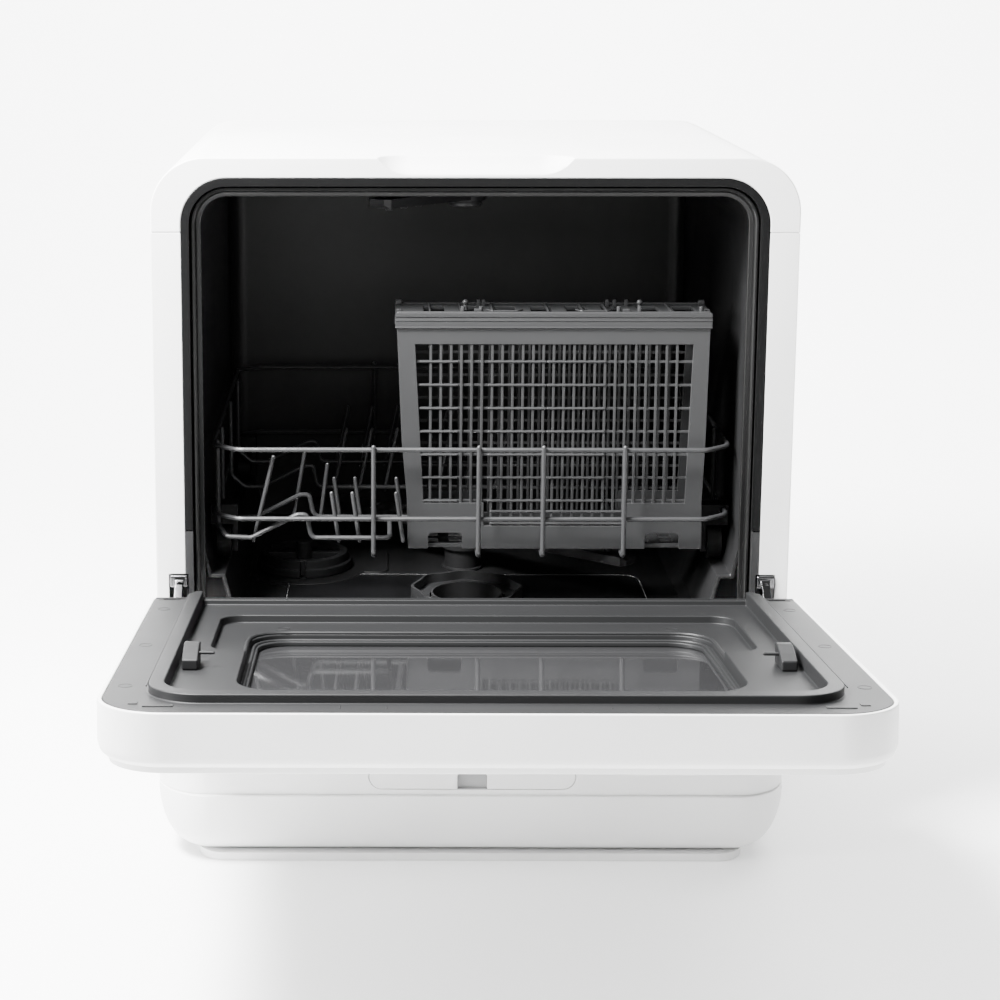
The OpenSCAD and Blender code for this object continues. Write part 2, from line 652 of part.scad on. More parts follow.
// A spray blade from the hub to its raised, faceted tip
module blade(reach_r, w0, w1, t) difference() {
  union() {
    hull() {
      translate([-w0 / 2, 0, 0]) cube([w0, 1, t]);
      translate([-w1 / 2, reach_r - 10, 0]) cube([w1, 1, t * 0.75]);
    }
    hull() {
      translate([-w1 / 2, reach_r - 12, 0]) cube([w1, 8, t * 0.8]);
      translate([-w1 / 2 + 4, reach_r - 2, 0]) cube([w1 - 8, 1, t * 0.5]);
    }
  }
}
module jets(reach_r, t) for (i = [1 : 4]) translate([0, reach_r * (0.22 + 0.16 * i), t * 0.6])
  cylinder(r = 2.2, h = t * 0.35);
module spray_arm(reach_r, t, heading) rotate([0, 0, heading]) for (a = [0, 180]) rotate([0, 0, a]) {
  blade(reach_r, 24, 20, t);
  jets(reach_r, t);
}
module lower_spray_arm() color("dimgray") at_seal() translate([0, spray_y, 0]) difference() {
  union() {
    translate([0, 0, arm_z]) spray_arm(lower_reach, 8, 232);
    post([0, 0, hub_top + gap], 15.5, arm_z - hub_top - gap + 8.2);
  }
  post([0, 0, hub_top - reach], spindle_r + run_fit, arm_z - hub_top + 6 + gap);
}
module upper_spray_arm() color("gray") at_seal() translate([0, spray_y, 0]) difference() {
  union() {
    translate([0, 0, upper_arm_z + 9]) rotate([180, 0, 0]) spray_arm(upper_reach, 8, 38);
    post([0, 0, upper_arm_z], 15, 10);
  }
  post([0, 0, upper_arm_z - reach], spindle_r + run_fit, 20);
}

// ---- Door ----
module door_plan(inset) {
  r = door_r - inset;
  w = half - inset;
  translate([-w, inset + r - door_len]) square([2 * w, door_len - 2 * inset - r]);
  translate([-w + r, inset - door_len]) square([2 * (w - r), r + 1]);
  for (s = [-1, 1]) translate([s * (w - r), inset + r - door_len]) circle(r);
}
module door_edge(inset, z0, z1) translate([0, 0, z0]) linear_extrude(z1 - z0) door_plan(inset);
module outer_window_plan(g) plate(-130 - g, 130 + g, -228 - g, -82 + g, 15 + g);
module hinge_notch(len) both_sides()
  bar(arm_in - 0.7, ear_out + 0.3, -len, reach, tongue_z - 1.6, rib_h);
module door_shell() color("white") on_door() difference() {
  hull() {
    door_edge(0, -door_t + 7, 0);
    door_edge(1.4, -door_t + 2.6, 0);
    door_edge(4.5, -door_t, 0);
  }
  door_edge(rim_w, -door_cavity, reach);
  translate([0, 0, -door_t - reach]) linear_extrude(door_t) outer_window_plan(-4);
  hinge_notch(rim_w + reach);
}
field_front = 272;
field_back = 6;
module field_plan(g) {
  w = field_w / 2;
  plate(-w - g, w + g, -field_front - g, -field_back + g, 22 + g);
  translate([-w - g, -60]) square([2 * (w + g), 60 - field_back + g]);
}
module window_plan(g) plate(70 - half - g, half - 70 + g, -238 - g, -72 + g, 25 + g);
module glass_plan(g) plate(75 - half - g, half - 75 + g, -233 - g, -77 + g, 20 + g);
module step_plan(g) {
  plate(49 - half - g, half - 49 + g, -139 - g, -38 + g, 14 + g);
  window_plan(g);
}
rib_front = 282;
module rib_plan() difference() {
  plate(-rib_w / 2, rib_w / 2, -rib_front, 40, 30);
  field_plan(0);
  translate([-half, -2]) square([width, 60]);
  translate([-field_w / 2, -field_back - 1]) square([field_w, 20]);
  for (s = [-1, 1]) scale([s, 1])
    polygon([[rib_w / 2 + 1, -14], [rib_w / 2 + 1, 1], [rib_w / 2 - 5, 1]]);
}
module layer(z0, z1) translate([0, 0, z0]) linear_extrude(z1 - z0) children();
stop_x = [half - 50, half - 35]; // the blocks that stop the rack's front rollers
stop_y = [170, 194];
stop_h = 11;
module door_liner() color("dimgray") on_door() difference() {
  f = -field_d;
  s = f - step_d;
  w = -pan_d;
  t = liner_t;
  union() {
    layer(-t, 0) difference() { door_plan(rim_w + seat); field_plan(0); }
    layer(-door_cavity, -t) difference() { door_plan(rim_w + seat); door_plan(rim_w + seat + t); }
    layer(f - t, -t / 2) difference() { field_plan(t); field_plan(0); }
    layer(f - t, f) difference() { field_plan(0.1); step_plan(0); }
    layer(s - t, f - t / 2) difference() { step_plan(t); step_plan(0); }
    layer(s - t, s) difference() { step_plan(0.1); window_plan(0); }
    layer(w - t, s - t / 2) difference() { window_plan(t); window_plan(0); }
    layer(w - t, w) difference() { window_plan(0.1); glass_plan(0); }
    layer(-t / 2, rib_h) rib_plan();
  }
  hinge_notch(rim_w + seat + t + reach);
}
module liner_stops() color("dimgray") on_door() both_sides() {
  along_x(stop_x[0], stop_x[1]) polygon([[-stop_y[0], seat - field_d], [-stop_y[0], stop_h],
    [-stop_y[0] - 7, stop_h], [-stop_y[1], 4], [-stop_y[1], seat - field_d]]);
  translate([stop_x[0] - 9, -stop_y[0] - 12, 3.5]) rotate([0, 90, 0]) cylinder(r = 1.8, h = 10);
}
module inner_window() color("black", 0.5) on_door() layer(-pan_d - liner_t - 3, -pan_d - liner_t) glass_plan(5);
module window_seal() color("black") on_door() layer(-pan_d - liner_t - 4, -pan_d - liner_t) difference() {
  glass_plan(9);
  glass_plan(5);
}
module outer_panel() color("white") on_door() difference() {
  layer(-door_t - panel_t, -door_t) difference() { door_plan(6); outer_window_plan(0); }
  layer(-door_t - panel_t - reach, -door_t - panel_t + strip_t) plate(-62, 62, -268, -246, 4);
}
module outer_window() color("black", 0.6) on_door() layer(-door_t - panel_t, -door_t) outer_window_plan(-seat);
strip_t = 1;
module touch_strip() color("black") on_door()
  layer(-door_t - panel_t, -door_t - panel_t + strip_t) plate(-62 + seat, 62 - seat, -268 + seat, -246 - seat, 4);

// ---- Rack ----
hoop_half = tub_half - 6;
front_rail_y = 22;
rear_rail_y = tub_depth - 12;
hoop_cut = 14;
front_half = hoop_half - 17;
pitch_w = wire_d - weld; // distance between the middles of two welded wires
upright_y = front_rail_y - pitch_w;
run_z = 198; // height of the runs that carry the basket
floor_run_z = cross_z - pitch_w;
function unit(v) = v / norm(v);
sides = 8;
// The rings of points round a bent wire, which lies in a plane with normal n
function ahead(p, i) = unit(p[(i + 1) % len(p)] - p[i]);
function behind(p, i) = unit(p[i] - p[(i + len(p) - 1) % len(p)]);
function inner(p, i, loop) = loop || (i > 0 && i < len(p) - 1);
function way(p, i, loop) = inner(p, i, loop) ? unit(ahead(p, i) + behind(p, i)) :
  i == 0 ? ahead(p, 0) : behind(p, i);
function mitre(p, i, loop) = inner(p, i, loop) ? 1 / (way(p, i, loop) * ahead(p, i)) : 1;
function rings(p, n, loop, d) = let (r = d / 2 / cos(180 / sides))
  [for (i = [0 : len(p) - 1], k = [0 : sides - 1]) let (a = (k + 0.5) * 360 / sides)
    p[i] + r * (cos(a) * mitre(p, i, loop) * unit(cross(way(p, i, loop), n)) + sin(a) * n)];
function tube_faces(count, loop, start) = concat(
  [for (i = [0 : loop ? count - 1 : count - 2], k = [0 : sides - 1], part = [0, 1])
    let (j = (i + 1) % count, m = (k + 1) % sides)
    [for (v = part == 0 ? [i * sides + k, j * sides + k, j * sides + m]
      : [i * sides + k, j * sides + m, i * sides + m]) start + v]],
  loop ? [] : [[for (k = [0 : sides - 1]) start + k],
    [for (k = [sides - 1 : -1 : 0]) start + (count - 1) * sides + k]]);
// A set of wires with equally many bends, none of which meets another of its set
module wires(paths, n, loop = false, d = wire_d) {
  count = len(paths[0]);
  polyhedron([for (p = paths) each rings(p, n, loop, d)],
    [for (w = [0 : len(paths) - 1]) each tube_faces(count, loop, w * count * sides)]);
}
function hoop(z_front, z_rear) = [
  [-front_half, front_rail_y, z_front], [front_half, front_rail_y, z_front],
  [hoop_half, front_rail_y + hoop_cut, z_front], [hoop_half, rear_rail_y - hoop_cut, z_rear],
  [front_half, rear_rail_y, z_rear], [-front_half, rear_rail_y, z_rear],
  [-hoop_half, rear_rail_y - hoop_cut, z_rear], [-hoop_half, front_rail_y + hoop_cut, z_front]];
upright_x = [-65.5, 5, 48.3, 102.5];
function runner_wire(x) = let (rear_y = rear_rail_y + pitch_w)
  [[x, upright_y, rail_z + 3], [x, upright_y, run_z + 3], [x, upright_y + 3, run_z],
    [x, 75, run_z], [x, 84, floor_run_z], [x, rear_y - 8, floor_run_z], [x, rear_y, floor_run_z + 8],
    [x, rear_y, rail_z + 3]];
side_x = hoop_half - pitch_w;
kink = [[-146, 0], [-116, 17], [-110, 17], [-106, 0]]; // the plate rest bent into a cross wire
function kinked(y) = [for (k = kink) [k[0], y, cross_z + k[1]]];
function cross_wire(y) = concat([[-side_x, y, rail_z + 2], [-side_x, y, cross_z + 9], [13 - hoop_half, y, cross_z]],
  kinked(y), [[hoop_half - 13, y, cross_z], [side_x, y, cross_z + 9], [side_x, y, rail_z + 2]]);
function front_wire(y) = concat([[19 - hoop_half, y, rail_low_z + 2], [19 - hoop_half, y, cross_z + 5], [24 - hoop_half, y, cross_z]],
  kinked(y), [[hoop_half - 24, y, cross_z], [hoop_half - 19, y, cross_z + 5],
    [hoop_half - 19, y, rail_low_z + 2]]);
// A tine stands on the top of a cross wire at x and leans sideways
function tine(x, y, lean, rise) = let (dip = tine_d / 1.8 * abs(lean) / norm([lean, rise]),
    base = cross_z + wire_d / 2 + dip + run_fit)
  [[x, y, base], [x + lean, y, base + rise]];
front_cross_y = front_rail_y + pitch_w;
cross_y = [79, 120, 165, 245];
module rack_frame() color("gray") at_seal() {
  wires([hoop(rail_z, rail_z + 3), hoop(rail_low_z, rail_low_z - 2)], [0, 0, 1], true);
  wires([for (x = upright_x) runner_wire(x)], [1, 0, 0]);
  wires(concat([front_wire(front_cross_y)], [for (y = cross_y) cross_wire(y)]), [0, 1, 0]);
}
module rack_tines() color("gray") at_seal() wires(concat(
  [for (y = [front_cross_y + gap, cross_y[0]], x = [-92, -78]) tine(x, y, -5, 32)],
  [for (y = [cross_y[1], cross_y[2], cross_y[3]], x = [-92, -46, -18, 24, 74, 122]) tine(x, y, 10, 52)],
  [for (y = cross_y) tine(-156, y, 33, 52)]), [0, 1, 0], d = tine_d);
wheel_y = [55, rear_rail_y - 30];
wheel_x0 = tub_half - 17; // inner face of a roller
clip_t = 4;
hook_t = 3.4; // half the size of the hook round the lower hoop
clip_x1 = wheel_x0 - 0.4;
clip_x0 = clip_x1 - clip_t;
axle_z = roller_z + gap + roller_d / 2;
// Height of the lower hoop at y
function hoop_low(y) = rail_low_z - 2 * (y - front_rail_y - hoop_cut)
  / (rear_rail_y - front_rail_y - 2 * hoop_cut);
module wheel_clip(y) difference() {
  union() {
    bar(clip_x0, clip_x1, y - 7, y + 7, axle_z - 5.5, hoop_low(y) + hook_t);
    translate([clip_x0, y, axle_z]) rotate([0, 90, 0]) cylinder(r = 7, h = clip_t);
    bar(clip_x0, hoop_half + hook_t, y - 7, y + 7, axle_z + roller_d / 2 + 1.6, hoop_low(y) + hook_t);
    translate([clip_x0, y, axle_z]) rotate([0, 90, 0]) cylinder(d = axle_d, h = clip_t + roller_w + 0.9);
  }
  translate([hoop_half, y - 20, 0]) rotate([-90, 0, 0]) translate([0, -hoop_low(y), 0])
    cylinder(r = wire_d / 2 + gap, h = 40);
}
module wheel_clips() color("dimgray") at_seal() both_sides() for (y = wheel_y) wheel_clip(y);
module wheel(x_side, y) color("gray") at_seal() mirror([x_side < 0 ? 1 : 0, 0, 0])
  translate([wheel_x0, y, axle_z]) rotate([0, 90, 0]) difference() {
    cylinder(d = roller_d, h = roller_w);
    translate([0, 0, -reach]) cylinder(r = axle_d / 2 + run_fit, h = roller_w + 2 * reach);
    difference() {
      translate([0, 0, roller_w - 2]) cylinder(r = roller_d / 2 - 3, h = 3);
      cylinder(r = axle_d / 2 + 2, h = roller_w + 2);
    }
  }
module wheel_front_left() wheel(-1, wheel_y[0]);
module wheel_front_right() wheel(1, wheel_y[0]);
module wheel_rear_left() wheel(-1, wheel_y[1]);
module wheel_rear_right() wheel(1, wheel_y[1]);

// ---- Basket ----
basket_x = [hoop_half - 224, hoop_half - 15];
basket_y = 32;
basket_z = run_z + wire_d / 2 + gap;
basket_t = 2.4;
rim_h = 7;
basket_top = basket_z + basket_h;
basket_back = basket_y + basket_d;
// Front outline of the basket, drawn in by an inset
module basket_outline(o) polygon([
  [basket_x[0] + 8 + o, basket_z], [basket_x[1] - 2 - o, basket_z],
  [basket_x[1] - 2.7 - o, basket_z + 33], [basket_x[1] - 1.2 - o, basket_z + 75],
  [basket_x[1] - o, basket_top - rim_h], [basket_x[1] - o, basket_top],
  [basket_x[0] + o, basket_top], [basket_x[0] + o, basket_top - rim_h],
  [basket_x[0] + 3.4 + o, basket_z + 75], [basket_x[0] + 7.2 + o, basket_z + 33]]);
window_top = basket_top - 18;
window_low = basket_z + 32;
window_deep = basket_z + 16;
module basket_window() polygon([
  [basket_x[0] + 12.2, window_top], [basket_x[1] - 11, window_top], [basket_x[1] - 14.2, window_low],
  [basket_x[1] - 55, window_low], [basket_x[1] - 55, window_deep], [basket_x[0] + 59, window_deep],
  [basket_x[0] + 59, window_low], [basket_x[0] + 18.4, window_low]]);
bar_x0 = basket_x[0] + 22.7;
rail_pitch = 15.95;
module bars_upright() for (x = [bar_x0 : bar_pitch : basket_x[1] - 20])
  translate([x - bar_w / 2, window_deep - 2]) square([bar_w, window_top - window_deep + 4]);
module bars_level() for (z = [window_low + 1.4 : rail_pitch : window_top - 8])
  translate([basket_x[0], z - bar_w / 2]) square([basket_x[1] - basket_x[0], bar_w]);
module grille(y0, y1) {
  along_y(y0, (y0 + y1) / 2) intersection() { bars_upright(); basket_window(); }
  along_y((y0 + y1) / 2, y1) intersection() { bars_level(); basket_window(); }
}
module basket_body() color("gray") at_seal() {
  difference() {
    union() {
      along_y(basket_y, basket_back) basket_outline(0);
      bar(basket_x[0] - 1, basket_x[1] + 1, basket_y - 1.2, basket_back + 1.2, basket_top - rim_h, basket_top);
    }
    along_y(basket_y + basket_t, basket_back - basket_t) translate([0, 3]) basket_outline(basket_t);
    along_y(basket_y - reach, basket_back + reach) basket_window();
    for (x = [basket_x[0] + 33, basket_x[1] - 29]) along_y(basket_y - reach, basket_y + basket_t + 1)
      plate(x - 11.5, x + 11.5, basket_z - 10, basket_z + 11, 3);
    for (x = [basket_x[0] + 20 : 16 : basket_x[1] - 20], y = [basket_y + 8, basket_y + 22])
      bar(x, x + 9, y, y + 9, basket_z - reach, basket_z + 4);
  }
  grille(basket_y + 0.6, basket_y + basket_t);
  grille(basket_back - basket_t, basket_back - 0.6);
}
lid_t = 3;
lid_z = basket_top + gap;
module basket_lid() color("gray") at_seal() difference() {
  union() {
    bar(basket_x[0] - 1, basket_x[1] + 1, basket_y - 1.2, basket_back + 1.2, lid_z, lid_z + lid_t);
    for (x = [basket_x[0] + 44, basket_x[0] + 56, basket_x[0] + 148, basket_x[0] + 162, basket_x[1] - 6])
      post([x, basket_y + 4, lid_z + 1], 1.5, 6);
  }
  for (x = [basket_x[0] + 18 : 24 : basket_x[1] - 20])
    bar(x, x + 14, basket_y + 8, basket_back - 8, lid_z - reach, lid_z + lid_t + reach);
}

base_tray();
front_fascia();
service_pocket();
side_panel_left();
side_panel_right();
top_cover();
rear_panel();
panel_screws();
tub();
tub_legs();
tub_gasket();
frame_trim();
trim_feet();
hinge_brackets();
hinge_pins();
door_springs();
rubber_feet();
sump();
wash_pump();
drain_pump();
water_heater();
softener_tank();
filter_plate();
feed_hub();
feed_pipe();
inlet_valve();
drain_outlet();
cord_gland();
control_board();
filter_cup();
fine_filter();
softener_cap();
lower_spray_arm();
upper_spray_arm();
service_cover();
door_shell();
door_liner();
outer_panel();
outer_window();
inner_window();
window_seal();
touch_strip();
liner_stops();
hinge_arms();
rack_frame();
rack_tines();
wheel_clips();
wheel_front_left();
wheel_front_right();
wheel_rear_left();
wheel_rear_right();
basket_body();
basket_lid();
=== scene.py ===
"""Countertop dishwasher with its drop door open: finishes, softened casings and the small fittings."""
import json
from math import cos, pi, radians, sin, tan

import bmesh
import bpy
from mathutils import Matrix, Vector


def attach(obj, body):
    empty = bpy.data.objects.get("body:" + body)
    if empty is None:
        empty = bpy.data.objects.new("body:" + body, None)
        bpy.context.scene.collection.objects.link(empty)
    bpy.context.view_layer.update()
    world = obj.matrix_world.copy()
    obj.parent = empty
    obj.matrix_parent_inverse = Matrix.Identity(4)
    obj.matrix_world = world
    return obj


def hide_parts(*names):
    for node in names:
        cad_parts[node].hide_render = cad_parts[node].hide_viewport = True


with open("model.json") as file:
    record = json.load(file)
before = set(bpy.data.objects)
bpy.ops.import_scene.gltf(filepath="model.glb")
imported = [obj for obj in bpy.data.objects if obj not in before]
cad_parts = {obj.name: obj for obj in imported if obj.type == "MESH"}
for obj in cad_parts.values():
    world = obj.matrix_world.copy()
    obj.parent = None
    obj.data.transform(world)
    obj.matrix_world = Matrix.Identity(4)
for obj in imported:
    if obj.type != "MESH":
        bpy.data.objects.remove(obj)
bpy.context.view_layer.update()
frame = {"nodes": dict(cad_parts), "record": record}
NODES = frame["nodes"]
BODY = {n: b for b, ns in frame["record"]["behaviour"]["bodies"].items() for n in ns}
SLOT = {s["node"]: s["material_slot"] for s in frame["record"]["subparts"]}

MM = 0.001
FRONT = -148.0  # the housing's front face, in mm along Y


def at(x, y, z):
    """A place given in mm, with y counted back from the housing's front face."""
    return Vector((x, y + FRONT, z)) * MM


DOOR_TILT = radians(6)
DOOR_BACK = (-32.21, 184.71)  # y and z of the open door's back edge, in mm


def on_door(x, out, up):
    """A place on the open door in mm: out from its back edge, up from its rim."""
    y = DOOR_BACK[0] - out * cos(DOOR_TILT) + up * sin(DOOR_TILT)
    z = DOOR_BACK[1] + out * sin(DOOR_TILT) + up * cos(DOOR_TILT)
    return at(x, y, z)


def only(kind, geometry):
    """The vertices, or the edges, among what a mesh operator gives back."""
    return [g for g in geometry if isinstance(g, kind)]


def chain(bm, places, loop=False):
    """A line of edges through places in m, open or closed on itself."""
    made = [bm.verts.new(place) for place in places]
    return [bm.edges.new(pair) for pair in zip(made, made[1:] + made[:1] if loop else made[1:])]


def round_over(bm, edges, width, segments, held=False):
    """Rounds edges over by a width in mm; held stops the roundings from running into each other."""
    bmesh.ops.bevel(bm, geom=edges, offset=width * MM, offset_type="OFFSET", affect="EDGES", segments=segments,
                    profile=0.5, material=-1, clamp_overlap=held)


# ---- Camera and studio ----

def set_camera():
    """A long lens in front of the machine and a little above it."""
    lens = bpy.data.cameras.new("front_view")
    lens.lens = 75.86
    lens.sensor_width = 36
    lens.shift_x = 0.1364
    lens.shift_y = -0.1582
    camera = bpy.data.objects.new("front_view", lens)
    camera.location = (-0.0626, -1.5006, 0.5918)
    camera.rotation_euler = (radians(79.8), 0, radians(0.4))
    bpy.context.scene.collection.objects.link(camera)
    bpy.context.scene.camera = camera


def soft_light(name, place, aim, size, power):
    """A rectangular lamp in m and W that faces the place it is aimed at."""
    lamp = bpy.data.lights.new(name, "AREA")
    lamp.shape = "RECTANGLE"
    lamp.size, lamp.size_y = size
    lamp.energy = power
    light = bpy.data.objects.new(name, lamp)
    light.location = place
    light.rotation_euler = (Vector(aim) - Vector(place)).to_track_quat("-Z", "Y").to_euler()
    bpy.context.scene.collection.objects.link(light)


SWEEP_SIZE = 5               # half its width, its reach to the front and its height, in m
COVE_START, COVE = 1.6, 1.2  # where the floor turns up, and on what radius, in m


def make_sweep():
    """A pale sheet: floor, cove and back wall in one."""
    bm = bmesh.new()
    cove = [(COVE_START + COVE * sin(a), COVE - COVE * cos(a)) for a in (0.3, 0.6, 0.9, 1.2, pi / 2)]
    section = [(-SWEEP_SIZE, 0), (COVE_START, 0)] + cove + [(COVE_START + COVE, SWEEP_SIZE)]
    line = chain(bm, [(-SWEEP_SIZE, y, z) for y, z in section])
    sheet = bmesh.ops.extrude_edge_only(bm, edges=line)["geom"]
    bmesh.ops.translate(bm, vec=(2 * SWEEP_SIZE, 0, 0), verts=only(bmesh.types.BMVert, sheet))
    bmesh.ops.recalc_face_normals(bm, faces=bm.faces)
    for face in bm.faces:
        face.smooth = True
    mesh = bpy.data.meshes.new("sweep")
    bm.to_mesh(mesh)
    bm.free()
    sweep = bpy.data.objects.new("sweep", mesh)
    bpy.context.scene.collection.objects.link(sweep)
    mesh.materials.append(paper_floor())


def set_studio():
    """The sweep under a dim world, with soft lamps over the door, at the left, in front and on the back wall."""
    make_sweep()
    world = bpy.data.worlds.new("studio")
    bpy.context.scene.world = world
    world.use_nodes = True
    world.node_tree.nodes["Background"].inputs["Color"].default_value = (1, 1, 1, 1)
    world.node_tree.nodes["Background"].inputs["Strength"].default_value = 0.25
    soft_light("key_over_door", (-0.5, -0.44, 1.05), (0, -0.12, 0.28), (0.4, 0.3), 100)
    soft_light("low_from_left", (-2.9, -1.05, 1.0), (0.15, -0.05, 0.3), (0.6, 0.6), 110)
    soft_light("fill_from_front", (0.5, -2.3, 1.0), (0, -0.1, 0.25), (1.4, 1.0), 7)
    soft_light("on_backdrop", (0, 0.9, 2.6), (0, 2.8, 1.0), (3.5, 0.6), 470)


# ---- Finishes ----

class Amount:
    """A socket of a finish, so that its shading maths reads as an expression."""

    def __init__(self, finish, socket):
        self.finish = finish
        self.socket = socket

    def maths(self, operation, *others):
        return self.finish.node("ShaderNodeMath", dict(operation=operation), self, *others)

    def __add__(self, other):
        return self.maths("ADD", other)

    def __sub__(self, other):
        return self.maths("SUBTRACT", other)

    def __rsub__(self, other):
        return self.finish.node("ShaderNodeMath", dict(operation="SUBTRACT"), other, self)

    def __mul__(self, other):
        return self.maths("MULTIPLY", other)

    __radd__ = __add__

    def over(self, low, high):
        """0 below low, 1 above high and smooth between."""
        return self.finish.node("ShaderNodeMapRange", dict(interpolation_type="SMOOTHSTEP"),
                                self, low, high, 0.0, 1.0)

    def __getitem__(self, axis):
        return self.finish.node("ShaderNodeSeparateXYZ", {}, self, out="XYZ"[axis])


class Finish:
    """A procedural material whose patterns lie in the part's own frame."""

    def __init__(self, name):
        self.material = bpy.data.materials.new(name)
        self.material.use_nodes = True
        self.tree = self.material.node_tree
        self.shader = self.tree.nodes["Principled BSDF"]
        self.place = self.node("ShaderNodeTexCoord", {}, out="Object")

    def node(self, kind, settings, *values, out=0, **named):
        """A new node with its settings and the values or links of its sockets; gives one of its outputs."""
        made = self.tree.nodes.new(kind)
        for key, value in settings.items():
            setattr(made, key, value)
        for key, value in list(enumerate(values)) + list(named.items()):
            self.feed(made.inputs[key], value)
        return Amount(self, made.outputs[out])

    def feed(self, socket, value):
        """Links an amount to a socket, or sets the socket's own value."""
        if isinstance(value, Amount):
            self.tree.links.new(value.socket, socket)
        elif socket.type == "RGBA" and len(value) == 3:
            socket.default_value = (*value, 1)
        else:
            socket.default_value = value

    def set(self, **values):
        """Feeds the shader's own sockets, named with _ for a space."""
        for key, value in values.items():
            self.feed(self.shader.inputs[key.replace("_", " ")], value)

    def noise(self, scale, detail=2.0, stretch=(1, 1, 1)):
        """Soft noise with scale grains to the metre."""
        where = self.node("ShaderNodeMapping", {}, self.place, Scale=stretch)
        return self.node("ShaderNodeTexNoise", {}, Vector=where, Scale=scale, Detail=detail)

    def blend(self, mask, low, high):
        """low where the mask is 0 and high where it is 1."""
        mix = self.tree.nodes.new("ShaderNodeMix")
        mix.data_type = "RGBA"
        for slot, value in ((0, mask), (6, low), (7, high)):
            self.feed(mix.inputs[slot], value)
        return Amount(self, mix.outputs[2])

    def bump(self, height, distance):
        """Relief of a height of 0 to 1 times a distance in m."""
        self.set(Normal=self.node("ShaderNodeBump", {}, Strength=1.0, Distance=distance, Height=height))


def shade(colour, factor):
    """A colour made lighter or darker."""
    return tuple(min(1.0, c * factor) for c in colour)


def paper_floor():
    """White paper that glows, the glow dimmed under the machine as a painted shadow."""
    f = Finish("pale_floor")
    grain = f.noise(40, 3)
    # Mask of the painted shadow: 0 near the machine, 1 from 0.75 m out.
    away = (f.place[0] * f.place[0] + f.place[1] * f.place[1]).maths("POWER", 0.5).over(0.1, 0.75)
    f.set(Base_Color=f.blend(grain, (0.93, 0.93, 0.93), (0.95, 0.95, 0.95)), Roughness=0.9 - grain * 0.05,
          Emission_Color=f.blend(away, (0.15, 0.15, 0.15), (1, 1, 1)), Emission_Strength=1.3)
    f.bump(grain, 0.0002)
    return f.material


def moulded(name, colour, rough, speck=0.0, gloss=0.5):
    """Injection-moulded plastic: fine spark-eroded grain, slow sink marks and faint shade changes."""
    f = Finish(name)
    fine = f.noise(2600, 2)
    slow = f.noise(9, 2)
    cloud = f.noise(26, 3)
    tone = f.blend(slow.over(0.35, 0.65), shade(colour, 0.965), shade(colour, 1.02))
    if speck:
        dust = f.noise(900, 1).over(0.68, 0.74)
        tone = f.blend(dust * speck, tone, shade(colour, 1.6))
    f.set(Base_Color=tone, Roughness=rough - 0.05 + cloud * 0.06 + fine * 0.04, Specular_IOR_Level=gloss)
    f.bump(fine + slow * 8.0, 0.00003)
    return f.material


def enamelled(name, colour):
    """Powder-coated sheet: a slow orange peel under a thin gloss."""
    f = Finish(name)
    peel = f.noise(420, 2)
    wave = f.noise(12, 2)
    f.set(Base_Color=f.blend(wave.over(0.3, 0.7), shade(colour, 0.975), shade(colour, 1.015)),
          Roughness=0.3 + peel * 0.06 - 0.03, Coat_Weight=0.25, Coat_Roughness=0.15)
    f.bump(peel + wave * 3.0, 0.00006)
    return f.material


def lined_tub(name, colour):
    """Wash chamber lining: satin, with dried water marks low on the walls; its dark grey is made darker still as
    painted shade of the deep chamber.
    """
    f = Finish(name)
    fine = f.noise(1500, 2)
    cloud = f.noise(14, 3)
    drip = f.noise(60, 2, stretch=(1, 1, 0.12)).over(0.62, 0.8)
    f.set(Base_Color=f.blend(cloud.over(0.3, 0.7), shade(colour, 0.9), shade(colour, 1.1)),
          Roughness=0.34 + cloud * 0.08 + drip * 0.08, Specular_IOR_Level=0.35)
    f.bump(fine + cloud * 5.0, 0.00004)
    return f.material


def polished(name, colour, rough, line=0.0):
    """Bare metal with faint drawing lines and a smear of handling."""
    f = Finish(name)
    draw = f.noise(900, 2, stretch=(1, 0.06, 1))
    smear = f.noise(45, 3)
    f.set(Base_Color=f.blend(smear, shade(colour, 0.93), colour), Metallic=1.0,
          Roughness=rough + smear * 0.08 + draw * line)
    f.bump(draw, 0.00002)
    return f.material


def coated_wire(name, colour):
    """Nylon-dipped rack wire: soft, with the coating's slow ripples and tiny pits."""
    f = Finish(name)
    ripple = f.noise(240, 2)
    pit = f.noise(1800, 1).over(0.66, 0.74)
    f.set(Base_Color=f.blend(ripple, shade(colour, 0.92), shade(colour, 1.06)),
          Roughness=0.33 + ripple * 0.12 + pit * 0.1)
    f.bump(ripple * 2.0 - pit * 0.5, 0.00008)
    return f.material


def rubber(name, colour):
    """Extruded rubber: a fine skin, with a pale bloom in places."""
    f = Finish(name)
    skin = f.noise(1300, 3)
    bloom = f.noise(30, 3).over(0.5, 0.8)
    f.set(Base_Color=f.blend(bloom, colour, shade(colour, 1.7)), Roughness=0.27 + skin * 0.1,
          Specular_IOR_Level=0.3)
    f.bump(skin, 0.00006)
    return f.material


def tinted_glass(name, tint, rough):
    """Toughened window: dark tint, faint wipe marks, clear enough to mirror what is above it."""
    f = Finish(name)
    wipe = f.noise(22, 3, stretch=(1, 4, 1))
    f.set(Base_Color=f.blend(wipe, shade(tint, 0.9), shade(tint, 1.1)), Roughness=rough + wipe * 0.05,
          Coat_Weight=1.0, Coat_Roughness=0.05)
    f.bump(wipe, 0.00004)
    return f.material


def circuit(name):
    """Green board with lighter tracks along it."""
    f = Finish(name)
    track = f.noise(600, 1, stretch=(1, 0.2, 1)).over(0.5, 0.55)
    f.set(Base_Color=f.blend(track, (0.02, 0.16, 0.06), (0.05, 0.3, 0.12)), Roughness=0.4 + track * 0.1)
    f.bump(track, 0.00005)
    return f.material


